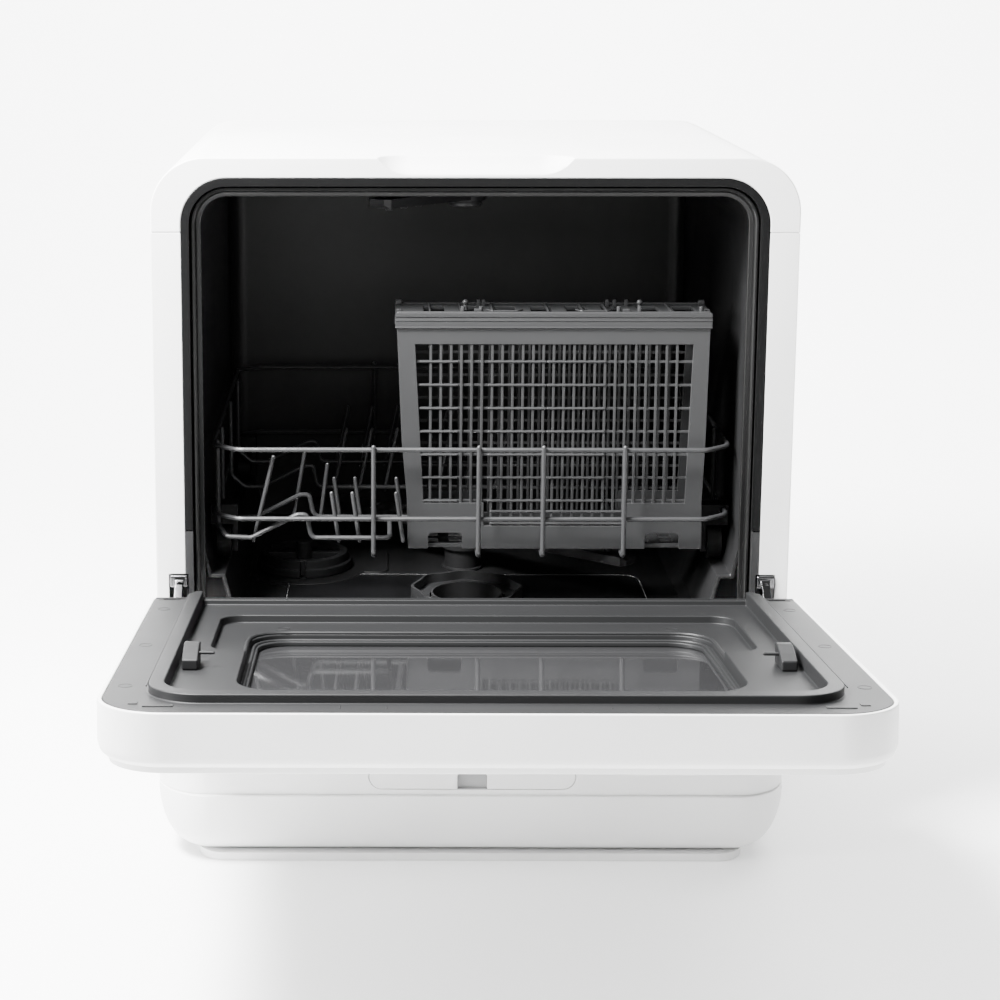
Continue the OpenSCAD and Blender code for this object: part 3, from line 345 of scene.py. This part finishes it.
def brass(name):
    """Turned brass with its tool marks."""
    f = Finish(name)
    turn = f.noise(1200, 2, stretch=(1, 8, 1))
    f.set(Base_Color=f.blend(turn, (0.55, 0.40, 0.16), (0.70, 0.53, 0.24)), Metallic=1.0,
          Roughness=0.28 + turn * 0.12)
    f.bump(turn, 0.00003)
    return f.material


def dotted_edge(name):
    """The filter plate's edge: black, with a row of fine bright punched dots."""
    f = Finish(name)
    pitch = 1900.0  # in radians to the metre
    row = (f.place[0] * pitch).maths("SINE")
    side = (f.place[1] * pitch).maths("SINE")
    dots = (row * side + 0.2).over(0.55, 0.8) + row.over(0.75, 0.95) * 0.6
    dots = dots.over(0.2, 0.9)
    f.set(Base_Color=f.blend(dots, (0.02, 0.02, 0.02), (0.5, 0.5, 0.5)), Roughness=0.5 - dots * 0.2)
    f.bump(dots, 0.0001)
    return f.material


WHITE = (0.76, 0.76, 0.755)
FINISHES = {
    "white_plastic": moulded("white_casing", WHITE, 0.38),
    "white_enamel": enamelled("white_powder_coat", WHITE),
    "grey_trim": moulded("grey_trim", (0.028, 0.028, 0.029), 0.34),
    "dark_plastic": moulded("dark_moulding", (0.014, 0.014, 0.0145), 0.5, gloss=0.3),
    "grey_plastic": moulded("grey_moulding", (0.0275, 0.0278, 0.0285), 0.42, speck=0.05, gloss=0.35),
    "light_grey_plastic": moulded("liner_grey", (0.0112, 0.0114, 0.0118), 0.5, speck=0.05, gloss=0.25),
    "black_plastic": moulded("black_moulding", (0.005, 0.005, 0.0055), 0.4, gloss=0.35),
    # The lining's dark grey is partly its own colour and partly painted shade of the deep chamber.
    "tub_steel": lined_tub("chamber_lining", (0.012, 0.012, 0.0124)),
    "bright_steel": polished("bright_hinge", (0.13, 0.13, 0.133), 0.14),
    "plated_steel": polished("plated_steel", (0.45, 0.45, 0.46), 0.35, 0.1),
    "coated_wire": coated_wire("dipped_wire", (0.029, 0.0293, 0.0303)),
    "smoked_glass": tinted_glass("smoked_glass", (0.026, 0.026, 0.027), 0.02),
    "black_rubber": rubber("black_rubber", (0.0028, 0.0028, 0.0028)),
    "filter_mesh": polished("filter_mesh", (0.3, 0.3, 0.31), 0.35, 0.1),
    "brass_fitting": brass("brass_fitting"),
    "circuit_green": circuit("circuit_board"),
    "dark_trim": moulded("dark_trim", (0.002, 0.002, 0.0021), 0.45, gloss=0.12),
    "arm_grey": moulded("arm_grey", (0.018, 0.018, 0.0185), 0.42, gloss=0.3),
    "roller_black": moulded("roller_black", (0.0045, 0.0045, 0.0046), 0.55, gloss=0.2),
    "dark_mesh": polished("dark_mesh", (0.16, 0.16, 0.163), 0.5, 0.1),
    # Mid grey for the inside of the white finger notch: painted shade.
    "grey_recess": moulded("shaded_recess", (0.30, 0.30, 0.30), 0.5),
    "dotted_edge": dotted_edge("dotted_edge"),
}


# ---- Making pieces ----

CREASE, CORNER = radians(35), radians(30)  # the least angles that stay sharp, and that are rounded over


def piece(name, bm, body, slot, stands_for=(), finish=None):
    """A finished mesh, smooth but for its true corners, riding on a body; its finish is its slot's unless named."""
    for face in bm.faces:
        face.smooth = True
    for edge in bm.edges:
        edge.smooth = len(edge.link_faces) == 2 and edge.calc_face_angle(0) < CREASE
    mesh = bpy.data.meshes.new(name)
    bm.to_mesh(mesh)
    bm.free()
    made = bpy.data.objects.new(name, mesh)
    bpy.context.scene.collection.objects.link(made)
    mesh.materials.append(FINISHES[finish or slot])
    made.modifiers.new("even_normals", "WEIGHTED_NORMAL").keep_sharp = True
    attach(made, body)
    if stands_for:
        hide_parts(*stands_for)


def softened(node, width, segments=2, held=False, joined=True, finish=None):
    """The node's own solid with its flat faces joined and its corners rounded over."""
    bm = bmesh.new()
    bm.from_mesh(NODES[node].data)
    bmesh.ops.remove_doubles(bm, verts=bm.verts, dist=2e-6)
    if joined:
        bmesh.ops.dissolve_limit(bm, angle_limit=radians(0.5), verts=bm.verts, edges=bm.edges)
    sharp = [e for e in bm.edges if len(e.link_faces) == 2 and e.calc_face_angle(0) > CORNER]
    round_over(bm, sharp, width, segments, held)
    bmesh.ops.triangulate(bm, faces=[f for f in bm.faces if len(f.verts) > 4])
    piece(node + "_finished", bm, BODY[node], SLOT[node], (node,), finish)


BEND_STEPS = 5


def bends(points, radius, loop):
    """The middle line of a bent wire, its corners turned on a radius."""
    line = []
    for i, corner in enumerate(points):
        if not loop and i in (0, len(points) - 1):
            line.append(corner)
            continue
        back, ahead = points[i - 1] - corner, points[(i + 1) % len(points)] - corner
        if back.angle(ahead) > radians(176):
            line.append(corner)
            continue
        cut = min(radius * MM / tan(back.angle(ahead) / 2), 0.45 * back.length, 0.45 * ahead.length)
        start, end = corner + back.normalized() * cut, corner + ahead.normalized() * cut
        for k in range(BEND_STEPS + 1):
            t = k / BEND_STEPS
            line.append(start * (1 - t) ** 2 + corner * (2 * t * (1 - t)) + end * t * t)
    return line


def draw_wire(bm, points, thick, radius=6, loop=False, sides=10):
    """A round wire drawn along a bent line, with domed ends or closed on itself."""
    line = bends([Vector(p) for p in points], radius, loop)
    last = len(line) - 1
    ways = []
    for i in range(len(line)):
        before = line[i] - line[i - 1] if loop or i else line[1] - line[0]
        after = line[(i + 1) % len(line)] - line[i] if loop or i < last else before
        ways.append((before.normalized() + after.normalized()).normalized())
    r = thick / 2 * MM
    start = Matrix.Translation(line[0]) @ ways[0].to_track_quat("Z", "Y").to_matrix().to_4x4()
    ring = bmesh.ops.create_circle(bm, segments=sides, radius=r, matrix=start)["verts"]
    first = edges = list({e for v in ring for e in v.link_edges})

    def dome(rim, centre, way):
        for step, shrink in ((0.5, 0.8), (0.35, 0.45)):
            out = bmesh.ops.extrude_edge_only(bm, edges=rim)["geom"]
            rim, tip = only(bmesh.types.BMEdge, out), only(bmesh.types.BMVert, out)
            bmesh.ops.translate(bm, vec=way * step * r, verts=tip)
            centre = centre + way * step * r
            bmesh.ops.scale(bm, vec=(shrink,) * 3, space=Matrix.Translation(-centre), verts=tip)
        bmesh.ops.contextual_create(bm, geom=rim)

    if not loop:
        dome(first, line[0], -ways[0])
    for i in range(1, len(line)):
        out = bmesh.ops.extrude_edge_only(bm, edges=edges)["geom"]
        edges, ring = only(bmesh.types.BMEdge, out), only(bmesh.types.BMVert, out)
        turn = ways[i - 1].rotation_difference(ways[i]).to_matrix()
        bmesh.ops.rotate(bm, cent=line[i - 1], matrix=turn, verts=ring)
        bmesh.ops.translate(bm, vec=line[i] - line[i - 1], verts=ring)
    if loop:
        bmesh.ops.bridge_loops(bm, edges=first + edges)
    else:
        dome(edges, line[-1], ways[-1])


def block(bm, low, high, soft, turn=None):
    """A moulded block between two corners, its edges rounded over by a width in mm."""
    low, high = Vector(low), Vector(high)
    form = Matrix.Translation((low + high) / 2) @ Matrix.Diagonal((*(high - low), 1))
    made = bmesh.ops.create_cube(bm, size=1, matrix=(turn or Matrix()) @ form)["verts"]
    round_over(bm, list({e for v in made for e in v.link_edges}), soft, 2)


def turned(bm, profile, place, axis="Z", steps=32):
    """A turned form: (radius, height) points in mm spun round an axis at a place."""
    lean = {"Z": Matrix(), "Y": Matrix.Rotation(pi / 2, 4, "X")}[axis]
    made = [bm.verts.new(place + lean @ Vector((r * MM, 0, h * MM))) for r, h in profile]
    line = [bm.edges.new(pair) for pair in zip(made, made[1:])]
    bmesh.ops.spin(bm, geom=made + line, cent=place, axis=lean @ Vector((0, 0, 1)), angle=2 * pi, steps=steps,
                   use_merge=True)
    bmesh.ops.remove_doubles(bm, verts=bm.verts, dist=1e-6)
    bmesh.ops.recalc_face_normals(bm, faces=bm.faces)


def door_block(bm, low, high, soft):
    """A block in the open door's own axes: across, out and up, in mm."""
    turn = Matrix.Translation(on_door(0, 0, 0)) @ Matrix.Rotation(-DOOR_TILT, 4, "X")
    low, high = Vector((low[0], -high[1], low[2])) * MM, Vector((high[0], -low[1], high[2])) * MM
    block(bm, low, high, soft, turn)


# ---- Rack ----

RACK_HALF, FRONT_RAIL, REAR_RAIL = 174, 22, 300  # the middles of the rails
RAIL_Z = ((271, 274), (223.3, 221.3))            # front and rear height of the upper and the lower rail
RAIL_BEND, RAIL_END = 14, 157
HOOP_X = (-65.5, 5, 48.3, 102.5)
HOOP_Z, HOOP_LOW_Z = 206.6, 198
WIRE, TINE = 3.3, 2.9
WELD = 2.9  # between the middles of two welded wires
CROSS_Z = 209.5
CROSS_Y = (79, 165, 245)
WIRE_END = 63.5  # how far a cross wire's ends stand up the sides


def make_rack():
    """Two rails, hoops under them, cross wires with a step for a cup, and the plate tines."""
    bm = bmesh.new()
    for front_z, rear_z in RAIL_Z:
        rail = [(-RAIL_END, FRONT_RAIL, front_z), (RAIL_END, FRONT_RAIL, front_z),
                (RACK_HALF, FRONT_RAIL + RAIL_BEND, front_z), (RACK_HALF, REAR_RAIL - RAIL_BEND, rear_z),
                (RAIL_END, REAR_RAIL, rear_z), (-RAIL_END, REAR_RAIL, rear_z),
                (-RACK_HALF, REAR_RAIL - RAIL_BEND, rear_z), (-RACK_HALF, FRONT_RAIL + RAIL_BEND, front_z)]
        draw_wire(bm, [at(*place) for place in rail], WIRE, RAIL_BEND, True)
    front, rear = FRONT_RAIL - WELD, REAR_RAIL + WELD
    hoop = [(front, 273.4), (front, HOOP_LOW_Z + 3), (front + 3, HOOP_LOW_Z), (75, HOOP_LOW_Z), (84, HOOP_Z),
            (rear - 8, HOOP_Z), (rear, HOOP_Z + 8), (rear, 276.4)]
    for x in HOOP_X:
        draw_wire(bm, [at(x, y, z) for y, z in hoop], WIRE, 7)
    rest = [(-148, 0), (-117, 16), (-110.5, 16), (-107.5, 0)]
    side, turn = RACK_HALF - WELD, RACK_HALF - 13
    cross = [(-side, WIRE_END), (-side, 9), (-turn, 0)] + rest + [(turn, 0), (side, 9), (side, WIRE_END)]
    for y in CROSS_Y:
        draw_wire(bm, [at(x, y, CROSS_Z + z) for x, z in cross], WIRE, 7)
    front = FRONT_RAIL + WELD
    line = [(-side, front + 13, WIRE_END), (-side, front + 13, 6), (6 - side, front + 1, 0.5)]
    line += [(x, front, z) for x, z in rest] + [(-54.5, front, 0), (-54.5, CROSS_Y[0] - WELD, 0)]
    draw_wire(bm, [at(x, y, CROSS_Z + z) for x, y, z in line], WIRE, 5)
    piece("rack_wires", bm, "rack", "coated_wire", ("rack_frame",))
    bm = bmesh.new()
    behind = (WIRE + TINE) / 2 - 0.05  # each tine stands welded behind its cross wire
    rows = [(front, (-89, -75, -45.5), -4.8, 30), (CROSS_Y[0], (-89, -74.5, -45.5), -4.2, 27),
            (front, (-146.8,), 13.9, 55), (CROSS_Y[0], (-122,), 8.2, 45), (CROSS_Y[0], (-103,), 5.1, 37)]
    rows += [(y, (-95.5, -76.5, -57.5, -18, 24, 74, 122), 9.5, 43) for y in CROSS_Y[1:]]
    for y, across, lean, rise in rows:
        for x in across:
            draw_wire(bm, [at(x, y + behind, CROSS_Z - 3), at(x + lean, y + behind, CROSS_Z + rise)], TINE)
    piece("rack_plate_tines", bm, "rack", "coated_wire", ("rack_tines",))


# ---- Basket ----

BASKET_LEFT, BASKET_RIGHT, BASKET_Y, BASKET_BACK = -50, 159, 32, 70
BASKET_Z, BASKET_TOP = 199.95, 358.95
BAR_RISE, BAR_PITCH, BARS = 33.4, 15.95, 7  # the grille's level bars


def dress_basket():
    """The basket's body with its level bars and rims, then its lid."""
    softened("basket_body", 0.35, joined=False)
    bm = bmesh.new()
    for i in range(BARS):
        z = BASKET_Z + BAR_RISE + BAR_PITCH * i
        for left, right in ((-34, -9.4), (11.9, 49.6), (51.4, 89.2)):
            draw_wire(bm, [at(left, BASKET_Y + 0.75, z), at(right, BASKET_Y + 0.75, z)], 1.7, sides=8)
    for z in (BASKET_Z + 26, BASKET_Z + 17.6):
        draw_wire(bm, [at(14, BASKET_Y + 0.8, z), at(102, BASKET_Y + 0.8, z)], 1.7, sides=8)
    left, right = BASKET_LEFT - 0.6, BASKET_RIGHT + 0.6
    for x in (left, right):
        draw_wire(bm, [at(x, BASKET_Y + 1, BASKET_TOP - 4.4), at(x, BASKET_BACK - 1, BASKET_TOP - 4.4)], 1.6, sides=8)
    for z in (BASKET_TOP - 1.6, BASKET_TOP - 6.4):
        draw_wire(bm, [at(left, BASKET_Y - 0.9, z), at(right, BASKET_Y - 0.9, z)], 1.5, sides=8)
    piece("basket_mouldings", bm, "basket", SLOT["basket_body"])
    softened("basket_lid", 0.6)
    dress_lid()


def dress_lid():
    """The lid's rims and ribs, two finger rims, the pins and hooks along its edges and its corner blocks."""
    bm = bmesh.new()
    lid = BASKET_TOP + 3.3
    draw_wire(bm, [at(BASKET_LEFT + 1, BASKET_Y + 0.4, lid), at(60, BASKET_Y + 0.4, lid - 0.3),
                   at(BASKET_RIGHT - 1, BASKET_Y + 0.4, lid + 0.2)], 2.2)
    draw_wire(bm, [at(x, BASKET_BACK - 1, lid + 0.4) for x in (BASKET_LEFT + 2, BASKET_RIGHT - 2)], 2)
    for x in (-28, -7.5, 14, 51, 74, 90, 133):
        block(bm, at(x - 0.5, BASKET_Y + 2, lid - 1), at(x + 0.5, BASKET_BACK - 2, lid + 1.3), 0.3)
    for x in (22, 82):
        rim = [(x - 12, 10), (x - 9, 5), (x + 9, 5), (x + 12, 10)]
        draw_wire(bm, [at(along, BASKET_Y + back, lid + 0.6) for along, back in rim], 1.2, 2, sides=8)
    pin = [(0, 0), (1.9, 0), (1.5, 0.8), (1.3, 3.4), (1.9, 4.3), (2.1, 5.2), (1.7, 6.2), (0.9, 6.8), (0, 7)]
    for x in (-4, 113):
        turned(bm, pin, at(x, BASKET_Y + 14, lid), steps=20)
    for x in (5.6, 9, 93, 98, 106):
        block(bm, at(x - 1.2, BASKET_BACK - 9, lid - 0.5), at(x + 1.2, BASKET_BACK - 6, lid + 4.2), 0.5)
    for x in (4, 103):
        block(bm, at(x - 2.5, BASKET_Y + 2, lid), at(x + 2.5, BASKET_Y + 6, lid + 2.4), 0.6)
    for x in (BASKET_LEFT + 1.5, BASKET_RIGHT - 1.5):
        block(bm, at(x - 2.2, BASKET_BACK - 5, lid), at(x + 2.2, BASKET_BACK - 1, lid + 3.4), 0.7)
        block(bm, at(x - 1.6, BASKET_Y + 6, lid - 0.5), at(x + 1.6, BASKET_Y + 9, lid + 1.6), 0.5)
    piece("lid_mouldings", bm, "lid", SLOT["basket_lid"])


# ---- Front frame, hinges and tub ----

ARCH_HALF, ARCH_FOOT, ARCH_TOP, ARCH_CORNER = 185, 166, 449.8, 24.5  # the opening that the gasket lines


def arch_ring(bm, inset, y):
    """One ring of the frame's arch, set in from the opening, at a depth in mm."""
    half, top, r = ARCH_HALF - inset, ARCH_TOP - inset, ARCH_CORNER - inset
    turn = [(half - r + r * cos(a), top - r + r * sin(a)) for a in [k * pi / 16 for k in range(9)]]
    line = [(half, ARCH_FOOT), (half, 300)] + turn + [(0, top)]
    line += [(-x, z) for x, z in reversed(line[:-1])]
    return chain(bm, [at(x, y, z) for x, z in line])


def make_gasket():
    """A bulb seal with a back lip, drawn round the arch: (inset, depth) points of its section in mm."""
    bm = bmesh.new()
    section = [(0.1, 9), (0.1, 6.6), (0.5, 5.2), (1.4, 4.3), (2.5, 4.2), (3.5, 4.9), (4.0, 6.1), (4.4, 6.9),
               (5.6, 7.2), (6.6, 7.3), (7.1, 7.8), (7.2, 9)]
    rings = [arch_ring(bm, inset, y) for inset, y in section]
    for one, two in zip(rings, rings[1:] + rings[:1]):
        bmesh.ops.bridge_loops(bm, edges=one + two)
    for side in (-1, 1):
        bmesh.ops.contextual_create(bm, geom=[e for e in bm.edges if len(e.link_faces) == 1
                                              and e.verts[0].co.x * side > 0])
    bmesh.ops.recalc_face_normals(bm, faces=bm.faces)
    piece("door_gasket", bm, "root", "black_rubber", ("tub_gasket",))


PIN_X, PIN_Y, PIN_Z = 194.2, -4.6, 184.9


def dress_hinges():
    """The arms, brackets and pins, with a turned head on each pin."""
    softened("hinge_arms", 0.8, segments=3)
    softened("hinge_brackets", 0.4, finish="roller_black")
    softened("hinge_pins", 0.4)
    bm = bmesh.new()
    head = [(0, 0), (2.3, 0), (2.3, -0.25), (1.9, -0.5), (1.2, -0.35), (0, -0.15)]
    for side in (-1, 1):
        turned(bm, head, at(side * PIN_X, PIN_Y, PIN_Z), "Y", 24)
    piece("hinge_pin_heads", bm, "door", SLOT["hinge_arms"])


# ---- Door ----

def door_bead(bm, half, near, far, up, thick, radius):
    """A raised bead round a window of the open door."""
    corners = [(-half, near), (half, near), (half, far), (-half, far)]
    draw_wire(bm, [on_door(x, out, up) for x, out in corners], thick, radius, True)


def door_ring(bm, x, out, up, radius, thick):
    """A fine raised ring on the open door, as round a plug or a screw."""
    turns = [k * pi / 8 for k in range(16)]
    draw_wire(bm, [on_door(x + radius * cos(a), out + radius * sin(a), up) for a in turns], thick, 1, True, 6)


STOP_OUTLINE = [(170, -3.3), (170, 8.6), (176, 9.0), (185, 5.6), (192, 2.4), (192, -3.3)]  # (out, up)
STOP_X, STOP_WIDE, PEG_OUT, PEG_UP = 163.5, 9, 182, 4.4


def make_stops():
    """The two wedges that stop the rack's front rollers, each with its inward peg."""
    bm = bmesh.new()
    for side in (-1, 1):
        face = bm.faces.new([bm.verts.new(on_door(side * STOP_X, out, up)) for out, up in STOP_OUTLINE])
        cheek = only(bmesh.types.BMVert, bmesh.ops.extrude_face_region(bm, geom=[face])["geom"])
        bmesh.ops.translate(bm, vec=(side * STOP_WIDE * MM, 0, 0), verts=cheek)
    bmesh.ops.recalc_face_normals(bm, faces=bm.faces)
    round_over(bm, bm.edges[:], 0.9, 3)
    for side in (-1, 1):
        draw_wire(bm, [on_door(side * x, PEG_OUT, PEG_UP) for x in (STOP_X - 8, STOP_X + 1.5)], 1.9)
    piece("roller_stops", bm, "door", SLOT["liner_stops"], ("liner_stops",), "light_grey_plastic")


def dress_door():
    """Shell, liner, stops, windows and strip, with the liner's beads, rings, ribs and back strip."""
    softened("door_shell", 0.7, segments=3, joined=False)
    softened("door_liner", 0.8, segments=3)
    make_stops()
    softened("outer_panel", 0.6)
    softened("outer_window", 0.3)
    softened("touch_strip", 0.25)
    bm = bmesh.new()
    door_bead(bm, 141.4, 70.6, 239.4, -8.0, 2.6, 26)
    door_bead(bm, 137.6, 74.4, 235.6, -11.9, 2.2, 22)
    for side in (-1, 1):
        for out in (37, 142, 243):
            door_ring(bm, side * 198, out, -0.12, 3.8, 0.6)
        door_ring(bm, side * 121, 56, -8.6, 4, 0.7)
        for x in (58, 82):
            draw_wire(bm, [on_door(side * x, 286, 0), on_door(side * x, 291, 0)], 0.8, sides=6)
        for inner, outer, near, far, rise in ((168, 184, 284.5, 289, 0.5), (187, 192, 279, 283.5, 0.45)):
            left, right = sorted((side * inner, side * outer))
            door_block(bm, (left, near, -0.4), (right, far, rise), 0.25)
        draw_wire(bm, [on_door(side * 184.6, 14, 4.55), on_door(side * 184.6, 262, 4.55)], 0.9, sides=8)
    door_block(bm, (-207, 0.15, -0.6), (207, 2.9, 0.22), 0.1)
    piece("liner_marks", bm, "door", SLOT["door_liner"])
    bm = bmesh.new()
    for side in (-1, 1):
        draw_wire(bm, [on_door(side * 204, 7.5, -0.05), on_door(side * 186.6, 4.5, -0.05)], 0.7, sides=6)
    piece("liner_back_slits", bm, "door", "black_plastic")


# ---- Base ----

TRAY, PLINTH = (210, -38, 333.9, 36), (183, -26, 307, 18)  # half width, front, rear and corner of each plan
TUCK, BULGE, WALL = 27, 2.2, 2.5
LEDGE_Z, PLINTH_Z = 50.5, 5.5


def slab_ring(bm, plan, inset, z):
    """One level ring of a form, its round-cornered plan drawn in by an inset in mm."""
    half, front, rear, r = plan[0] - inset, plan[1] + inset, plan[2] - inset, plan[3] - inset
    line = []
    for x, y, start in ((half - r, rear - r, 0), (r - half, rear - r, 1), (r - half, front + r, 2),
                        (half - r, front + r, 3)):
        line += [(x + r * cos((start + k / 12) * pi / 2), y + r * sin((start + k / 12) * pi / 2)) for k in range(13)]
    return chain(bm, [at(x, y, z) for x, y in line], loop=True)


def make_tray():
    """The base tray: a shell drawn in below on a falling curve, on its plinth."""
    bm = bmesh.new()
    steps = [k / 20 for k in range(21)]
    curve = [(TUCK * (1 - (1 - (1 - t) ** BULGE) ** (1 / BULGE)), PLINTH_Z + (LEDGE_Z - 0.8 - PLINTH_Z) * t)
             for t in steps]
    rim = [(0.06, LEDGE_Z - 0.35), (0.3, LEDGE_Z - 0.1), (0.8, LEDGE_Z), (8, LEDGE_Z), (8, LEDGE_Z - WALL),
           (WALL + 0.1, LEDGE_Z - WALL)]
    inside = [(g + WALL, max(z, PLINTH_Z + WALL)) for g, z in reversed(curve[1:-1])]
    foot = [(1.2, 0), (0.3, 0.3), (0, 1.2), (0, PLINTH_Z + 0.2)]
    for plan, levels in ((TRAY, curve + rim + inside), (PLINTH, foot)):
        rings = [slab_ring(bm, plan, inset, z) for inset, z in levels]
        for one, two in zip(rings, rings[1:]):
            bmesh.ops.bridge_loops(bm, edges=one + two)
        for end in (rings[0], rings[-1]):
            bmesh.ops.contextual_create(bm, geom=end)
    bmesh.ops.recalc_face_normals(bm, faces=bm.faces)
    piece("tray_and_plinth", bm, "root", SLOT["base_tray"], ("base_tray",))


def dress_base():
    """The tray, the fascia, and the service cover with the back of its finger notch in painted shade."""
    make_tray()
    softened("front_fascia", 0.6)
    softened("service_cover", 0.5)
    softened("service_pocket", 0.4)
    softened("rubber_feet", 0.5)
    # The back of the finger notch, mid grey as painted shade of the white recess.
    bm = bmesh.new()
    block(bm, at(-10.6, -31.6, 53.8), at(10.6, -30.9, 67.4), 0.2)
    block(bm, at(-10.4, -34.6, 53.6), at(10.4, -31.0, 54.7), 0.3)
    piece("notch_back", bm, "flap", SLOT["service_cover"], finish="grey_recess")


# ---- Inside the tub ----

SPINDLE_Y, LOWER_ARM_Z, UPPER_ARM_Z = 160, 186.0, 425.0
NOZZLE = [(0, 0.4), (0.8, 0.4), (0.9, 1.0), (1.9, 1.0), (2.4, 0.6), (2.7, 0), (2.7, -0.4), (0, -0.4)]
PLATE_HALF, PLATE_FRONT, PLATE_REAR, PLATE_Z = 126.6, 16, 133.6, 151.6


def jets(bm, reach, heading, z, way):
    """Four nozzles along each half of a spray arm, facing up (way 1) or down (way -1)."""
    for end in (0, 180):
        turn = radians(heading + end + 90)
        for k in range(1, 5):
            away = reach * (0.22 + 0.16 * k)
            foot = at(cos(turn) * away, SPINDLE_Y + sin(turn) * away, z)
            turned(bm, [(r, h * way) for r, h in NOZZLE], foot, steps=16)


def dress_tub():
    """The chamber with its seal and trim, the filter, the arms with their nozzles, and the rack's rollers."""
    softened("tub", 0.9, joined=False)
    make_gasket()
    softened("frame_trim", 0.5, finish="dark_trim")
    softened("trim_feet", 0.4, finish="arm_grey")
    softened("filter_plate", 0.3)
    softened("filter_cup", 0.5, joined=False)
    softened("fine_filter", 0.2, finish="dark_mesh")
    softened("softener_cap", 0.8)
    softened("feed_hub", 0.5)
    softened("feed_pipe", 1.2)
    softened("lower_spray_arm", 0.8, held=True, joined=False, finish="arm_grey")
    softened("upper_spray_arm", 0.8, held=True, joined=False, finish="arm_grey")
    # Near-black: the rollers' own dark plastic, and on the clips also painted shade, so they sink into the chamber's
    # shadow.
    softened("wheel_clips", 0.5, finish="roller_black")
    for wheel in ("wheel_front_left", "wheel_front_right", "wheel_rear_left", "wheel_rear_right"):
        softened(wheel, 0.7, finish="roller_black")
    bm = bmesh.new()
    jets(bm, 146, 232, LOWER_ARM_Z, 1)
    turned(bm, [(0, 6.4), (5, 6.2), (8.6, 5.2), (10.5, 3.4), (11.2, 0), (0, 0)], at(0, SPINDLE_Y, LOWER_ARM_Z))
    piece("lower_arm_jets", bm, "lower_arm", SLOT["lower_spray_arm"], finish="arm_grey")
    bm = bmesh.new()
    jets(bm, 104, -38, UPPER_ARM_Z, -1)
    piece("upper_arm_jets", bm, "upper_arm", SLOT["upper_spray_arm"], finish="arm_grey")
    bm = bmesh.new()
    edge = [(-PLATE_HALF, PLATE_FRONT), (PLATE_HALF, PLATE_FRONT), (PLATE_HALF, PLATE_REAR), (-PLATE_HALF, PLATE_REAR)]
    draw_wire(bm, [at(x, y, PLATE_Z) for x, y in edge], 0.8, 15, True, 6)
    piece("filter_plate_edge", bm, "root", SLOT["filter_plate"], finish="dotted_edge")


# ---- Housing ----

INLET_X, INLET_Y, INLET_Z, THREAD_PITCH = 128, 314, 96, 2.4


def dress_housing():
    """The outer panels, and the fittings in the back's service bay."""
    softened("top_cover", 1.0, segments=3)
    softened("side_panel_left", 0.8)
    softened("side_panel_right", 0.8)
    softened("rear_panel", 0.5)
    softened("panel_screws", 0.2)
    softened("inlet_valve", 0.6)
    softened("drain_outlet", 0.6)
    softened("cord_gland", 0.6)
    bm = bmesh.new()
    thread = [(12.6, -0.7), (13.1, 0), (12.6, 0.7), (12.2, 0), (12.6, -0.7)]
    for k in range(5):
        turned(bm, thread, at(INLET_X, INLET_Y + THREAD_PITCH * k, INLET_Z), "Y")
    piece("inlet_thread", bm, "root", SLOT["inlet_valve"])


set_camera()
set_studio()
dress_housing()
dress_base()
dress_tub()
dress_hinges()
dress_door()
make_rack()
dress_basket()
for name, thing in NODES.items():
    thing.data.materials.clear()
    thing.data.materials.append(FINISHES[SLOT[name]])
